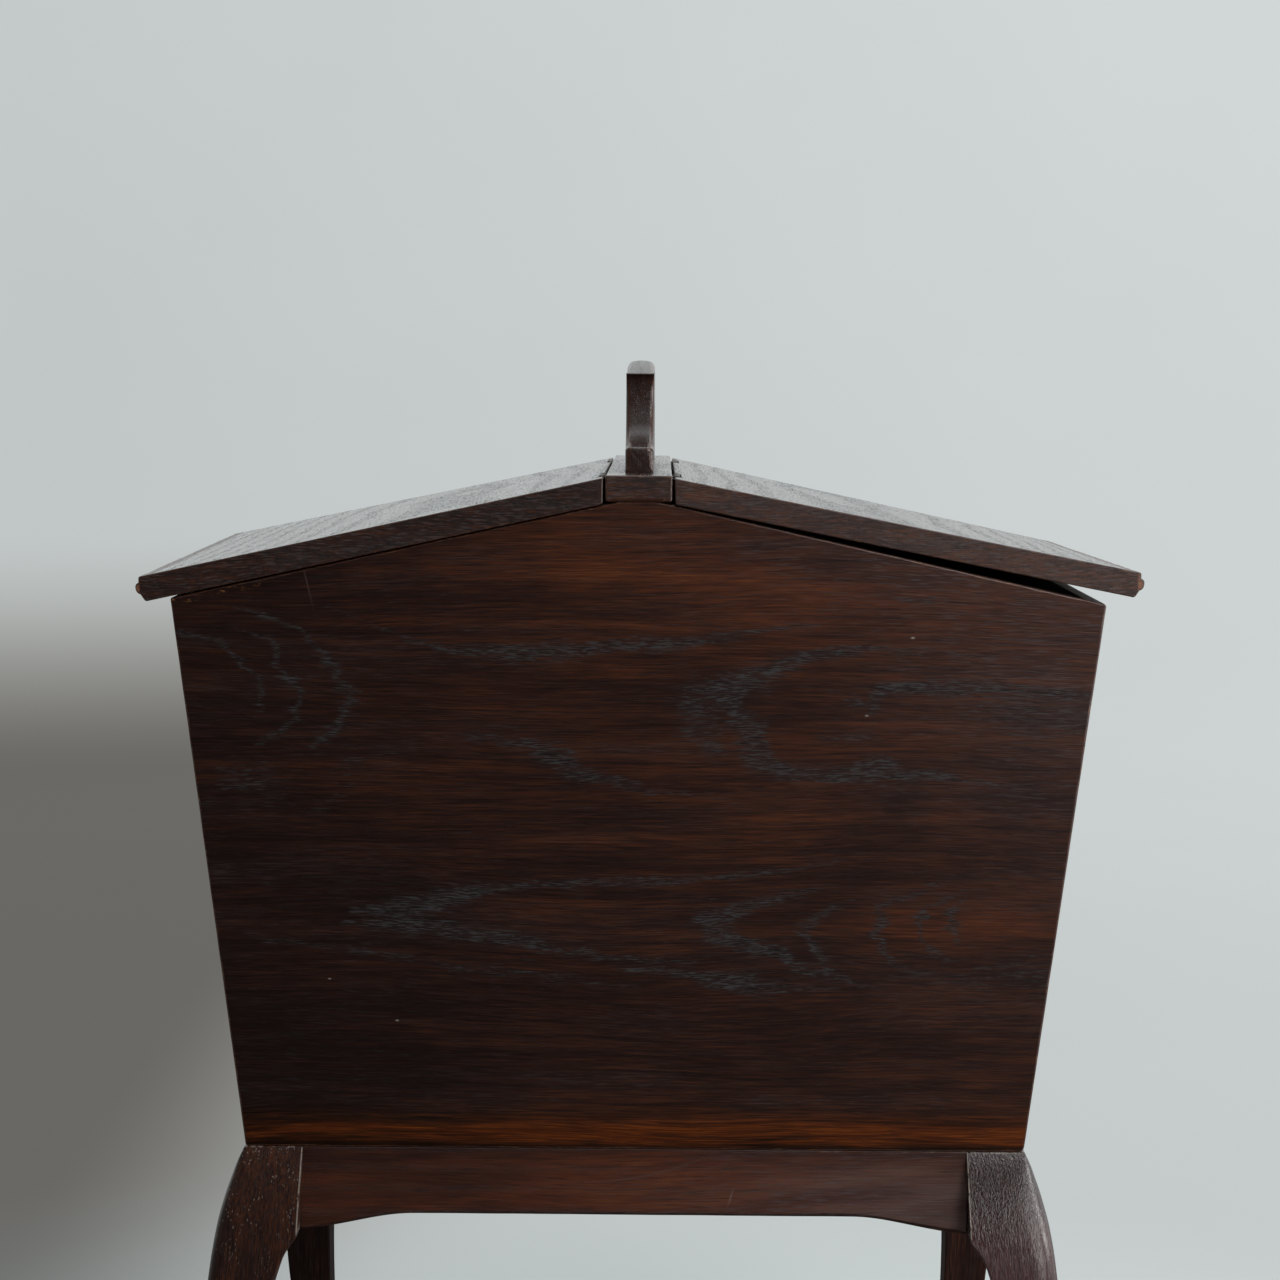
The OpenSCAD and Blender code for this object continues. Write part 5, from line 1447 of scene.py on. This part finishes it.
def area(name, place, target, size, power, colour):
    l = bpy.data.lights.new(name, "AREA")
    l.shape = "RECTANGLE"
    l.size, l.size_y = size
    l.energy = power
    l.color = colour
    o = bpy.data.objects.new(name, l)
    o.location = place
    o.rotation_mode = "QUATERNION"
    o.rotation_quaternion = (Vector(target) - Vector(place)).to_track_quat("-Z", "Y")
    o.visible_camera = False
    bpy.context.scene.collection.objects.link(o)
    return o


area("window", (0.66, -1.02, 0.43), (0.05, -0.14, 0.36), (0.42, 0.52), 3.0, (1.0, 1.0, 0.99))
area("side", (1.15, -0.42, 0.52), (0.10, -0.08, 0.42), (0.45, 0.55), 6.0, (1.0, 1.0, 0.99))
area("key", (0.50, -0.80, 1.12), (0.02, 0.0, 0.40), (0.5, 0.5), 4.6, (1.0, 0.99, 0.98))
area("top", (0.25, 0.2, 2.3), (0.0, 0.0, 0.4), (1.5, 1.5), 16.0, (0.97, 1.0, 1.0))
area("fill", (-1.8, -1.2, 1.1), (0.0, 0.0, 0.35), (1.2, 1.2), 0.8, (0.95, 0.98, 1.0))

# ---------------------------------------------------------------- camera
cam = bpy.data.cameras.new("camera")
cam.sensor_fit = "AUTO"
cam.sensor_width = 36.0
cam.lens = 2942.0 / 1280.0 * 36.0
cam.clip_start, cam.clip_end = 0.05, 30.0
cam.dof.use_dof = False
co = bpy.data.objects.new("camera", cam)
bpy.context.scene.collection.objects.link(co)
pitch, yaw, roll = math.radians(5.30), math.radians(-0.354), math.radians(0.395)
fwd = Vector((math.sin(yaw) * math.cos(pitch), math.cos(yaw) * math.cos(pitch), -math.sin(pitch)))
rgt = Vector((math.cos(yaw), -math.sin(yaw), 0.0))
upv = rgt.cross(fwd)
ex = rgt * math.cos(roll) + upv * math.sin(roll)
ey = upv * math.cos(roll) - rgt * math.sin(roll)
co.matrix_world = Matrix(((ex.x, ey.x, -fwd.x, 0.0087), (ex.y, ey.y, -fwd.y, -1.3941), (ex.z, ey.z, -fwd.z, 0.5783), (0, 0, 0, 1)))
bpy.context.scene.camera = co
bpy.context.scene.view_settings.view_transform = "Standard"
bpy.context.scene.view_settings.look = "None"
